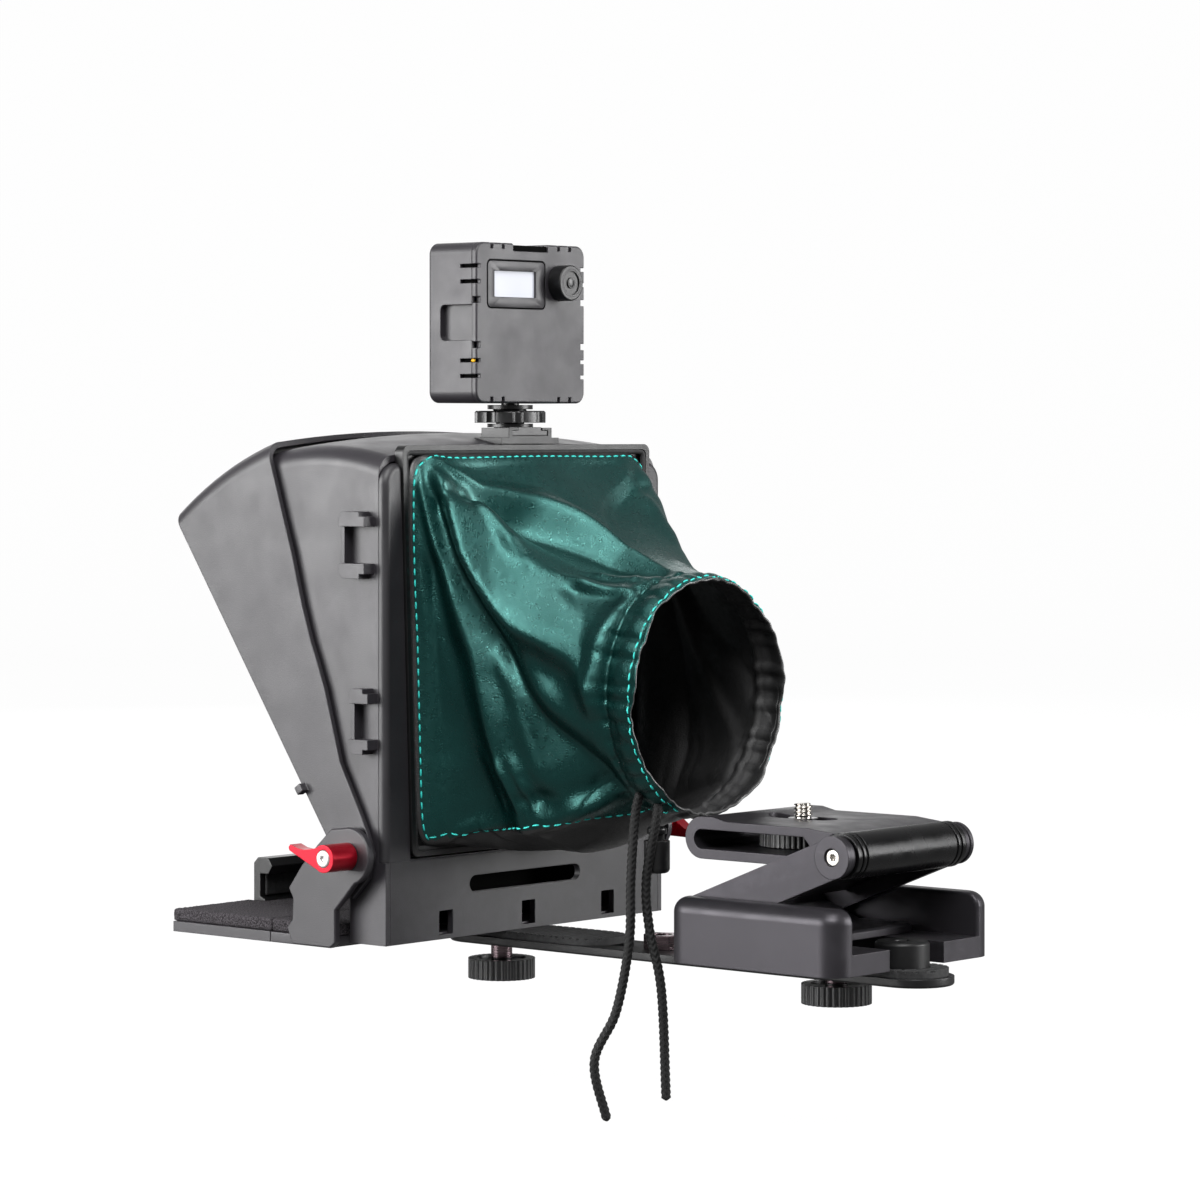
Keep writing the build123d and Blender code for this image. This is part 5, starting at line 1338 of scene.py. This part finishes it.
def add_led_chips():
    """phosphor domes on the -Y face of the light's board, behind the diffuser"""
    board = Box("led_board")
    columns, rows, pitch, sides = 8, 6, 5.6, 12
    # radius, y from the board's face
    dome = [(1.15, 0.02), (1.1, -0.12), (0.9, -0.25), (0.5, -0.34), (0.1, -0.36)]
    verts, faces = [], []
    for column in range(columns):
        for row in range(rows):
            x = board.mid_x + (column - (columns - 1) / 2) * pitch
            z = board.mid_z + (row - (rows - 1) / 2) * pitch
            faces += capped_faces(len(dome), sides, first=len(verts))
            for radius, dy in dome:
                verts += [mm(x + radius * cos, board.y0 + dy, z + radius * sin)
                          for cos, sin in circle(sides)]
    mesh = make_mesh("light_led_chips", verts, faces)
    add_object("light_led_chips", mesh, [MATS["led_chip"]], "light")


def add_collar():
    """threaded collar between the lock ring and the light"""
    ring = Box("lock_ring")
    add_thread("light_collar_thread", 0.0, ring.mid_y, ring.z1 + 0.05, cover.z0 - 1.65,
               radius=6.2, pitch=0.8, depth=0.45,
               material=MATS["knob"], body="light_adaptor")


add_bezel()
add_notch_shade()
add_dial_parts()
add_charge_indicator()
add_led_chips()
add_collar()


# ------------------------------------------------------------------ gasket, and painted shade in the rib slot
GASKET_RADIUS = 1.15
GASKET_SIDES = 10
GASKET_INSET = 2.4        # distance from the rim's foot and top, and reach of the corners
GASKET_STEP = 2.0


def gasket_path():
    """rounded trapezium just inside the hood rim"""
    rim = Box("hood_rim")
    low, high = rim.z0 + GASKET_INSET, rim.z1 - GASKET_INSET
    corners = np.array([(-57.6, low), (57.6, low), (62.6, high), (-62.6, high)])
    outline = []
    for i, corner in enumerate(corners):
        back = corners[i - 1] - corner
        ahead = corners[(i + 1) % 4] - corner
        start = corner + back / np.linalg.norm(back) * GASKET_INSET
        end = corner + ahead / np.linalg.norm(ahead) * GASKET_INSET
        for k in range(9):
            t = k / 8
            x, z = (1 - t) ** 2 * start + 2 * t * (1 - t) * corner + t * t * end
            outline.append(mm(x, rim.y1 - 1.35, z))
    path = []
    for here, after in zip(outline, outline[1:] + outline[:1]):
        steps = max(1, int((after - here).length / MM / GASKET_STEP))
        for k in range(steps):
            point = here.lerp(after, k / steps)
            path.append(point + Vector((0, noise.noise(point * 150) * 0.12 * MM, 0)))
    return path


def add_gasket():
    """soft gasket between the rim and the hood"""
    path = gasket_path()
    along_y = Vector((0, 1, 0))
    verts = []
    for i, point in enumerate(path):
        tangent = (path[(i + 1) % len(path)] - path[i - 1]).normalized()
        across = tangent.cross(along_y).normalized()
        for cos, sin in circle(GASKET_SIDES):
            verts.append(point + (across * cos + along_y * sin) * GASKET_RADIUS * MM)
    faces = ring_faces(len(path), GASKET_SIDES, loop=True)
    mesh = make_mesh("hood_rim_gasket", verts, faces, fix_normals=True)
    add_object("hood_rim_gasket", mesh, [MATS["rubber"]], "root")


add_gasket()
# painted shade: a near-black sheet on the stiffening rib darkens the long slot of the lower wall,
# seen through it
add_shade_block("slot_shade_sheet", (-52.0, 52.0), (-77.28, -76.5), (8.5, 28.5), 0.3,
          "root")


# ------------------------------------------------------------------ floor (metres from here on)
FLOOR_GAP = 0.004         # below the lowest point of the rig
FLOOR_HALF_WIDTH = 6.0
SWEEP_START = 3.0         # distance behind the rig where the floor starts to curve up
SWEEP_RADIUS = 1.2
WALL_HEIGHT = 5.5


def add_floor():
    """pale sweep that curves up behind the rig, as seen from the camera"""
    floor_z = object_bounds()[0][2] - FLOOR_GAP
    # distance behind the rig, height
    rows = [(-FLOOR_HALF_WIDTH, floor_z), (0.0, floor_z)]
    for i in range(14):
        angle = math.pi / 2 * i / 13
        rows.append((SWEEP_START + SWEEP_RADIUS * math.sin(angle),
                     floor_z + (SWEEP_RADIUS - SWEEP_RADIUS * math.cos(angle))))
    rows.append((SWEEP_START + SWEEP_RADIUS, floor_z + WALL_HEIGHT))
    away = Vector((-0.757, -0.653, 0)).normalized()
    across = Vector((-away.y, away.x, 0))
    verts = []
    for distance, z in rows:
        for offset in (-FLOOR_HALF_WIDTH, FLOOR_HALF_WIDTH):
            point = away * distance + across * offset
            verts.append((point.x, point.y, z))
    faces = [(2 * i, 2 * i + 1, 2 * i + 3, 2 * i + 2) for i in range(len(rows) - 1)]
    mesh = bpy.data.meshes.new("floor")
    mesh.from_pydata(verts, [], faces)
    floor = bpy.data.objects.new("floor", mesh)
    scene.collection.objects.link(floor)
    for face in mesh.polygons:
        face.use_smooth = True
    mesh.materials.append(studio_paper())


add_floor()


# ------------------------------------------------------------------ world, lights, camera
def add_world():
    """white to the camera; to other rays a grey that brightens upwards"""
    world = bpy.data.worlds.new("studio")
    scene.world = world
    world.use_nodes = True
    kit = NodeKit(world.node_tree)
    background = kit.tree.nodes["Background"]
    direction = kit.node("ShaderNodeSeparateXYZ")
    kit.feed(direction.inputs[0], kit.coords.outputs["Generated"])
    height = kit.remap(direction.outputs[2], (-1.0, 1.0), (0.0, 1.0))
    sky = kit.ramp(height, (0.30, grey(0.05)), (1.0, grey(0.26)))
    ray = kit.node("ShaderNodeLightPath")
    colour = kit.mix_colour(ray.outputs["Is Camera Ray"], sky, grey(1))
    kit.feed(background.inputs[0], colour)
    background.inputs[1].default_value = 1.0


def add_area_light(name, location, target, width, height, watts):
    light = bpy.data.lights.new(name, "AREA")
    light.energy = watts
    light.shape = "RECTANGLE"
    light.size = width
    light.size_y = height
    lamp = bpy.data.objects.new(name, light)
    scene.collection.objects.link(lamp)
    lamp.location = location
    direction = Vector(target) - Vector(location)
    lamp.rotation_euler = direction.to_track_quat("-Z", "Y").to_euler()
    return lamp


# name, location, target, width, height, watts
AREA_LIGHTS = [
    ("side_softbox", (1.95, -1.15, 0.45), (0, -0.05, 0.1), 1.8, 1.3, 92),
    ("rear_softbox", (-1.35, 1.75, 0.65), (0, 0.0, 0.1), 1.1, 1.3, 56),
    ("top_softbox", (0.35, 0.45, 1.8), (0, 0, 0.1), 0.7, 0.7, 11),
    ("key_softbox", (0.95, 0.85, 1.25), (0, -0.02, 0.1), 0.95, 0.6, 26),
    ("front_fill", (-1.1, -1.6, 0.8), (0, 0, 0.1), 1.5, 1.5, 9),
]


def add_lights():
    side_lamp, *_ = [add_area_light(*row) for row in AREA_LIGHTS]
    # a flag keeps the side light off the hood
    flag = bpy.data.collections.new("side_light_flag")
    flag.objects.link(hood_cover)
    side_lamp.light_linking.receiver_collection = flag
    for entry in flag.collection_objects:
        entry.light_linking.link_state = "EXCLUDE"


def add_camera():
    lens = bpy.data.cameras.new("camera")
    lens.lens = 129.0
    lens.sensor_width = 36.0
    lens.sensor_fit = "AUTO"
    lens.shift_y = -0.1416667
    lens.clip_start = 0.01
    camera = bpy.data.objects.new("camera", lens)
    scene.collection.objects.link(camera)
    camera.location = (1.1258, 0.9436, 0.1802)
    camera.rotation_euler = (math.radians(90), 0, math.radians(130.8))
    scene.camera = camera


add_world()
add_lights()
add_camera()
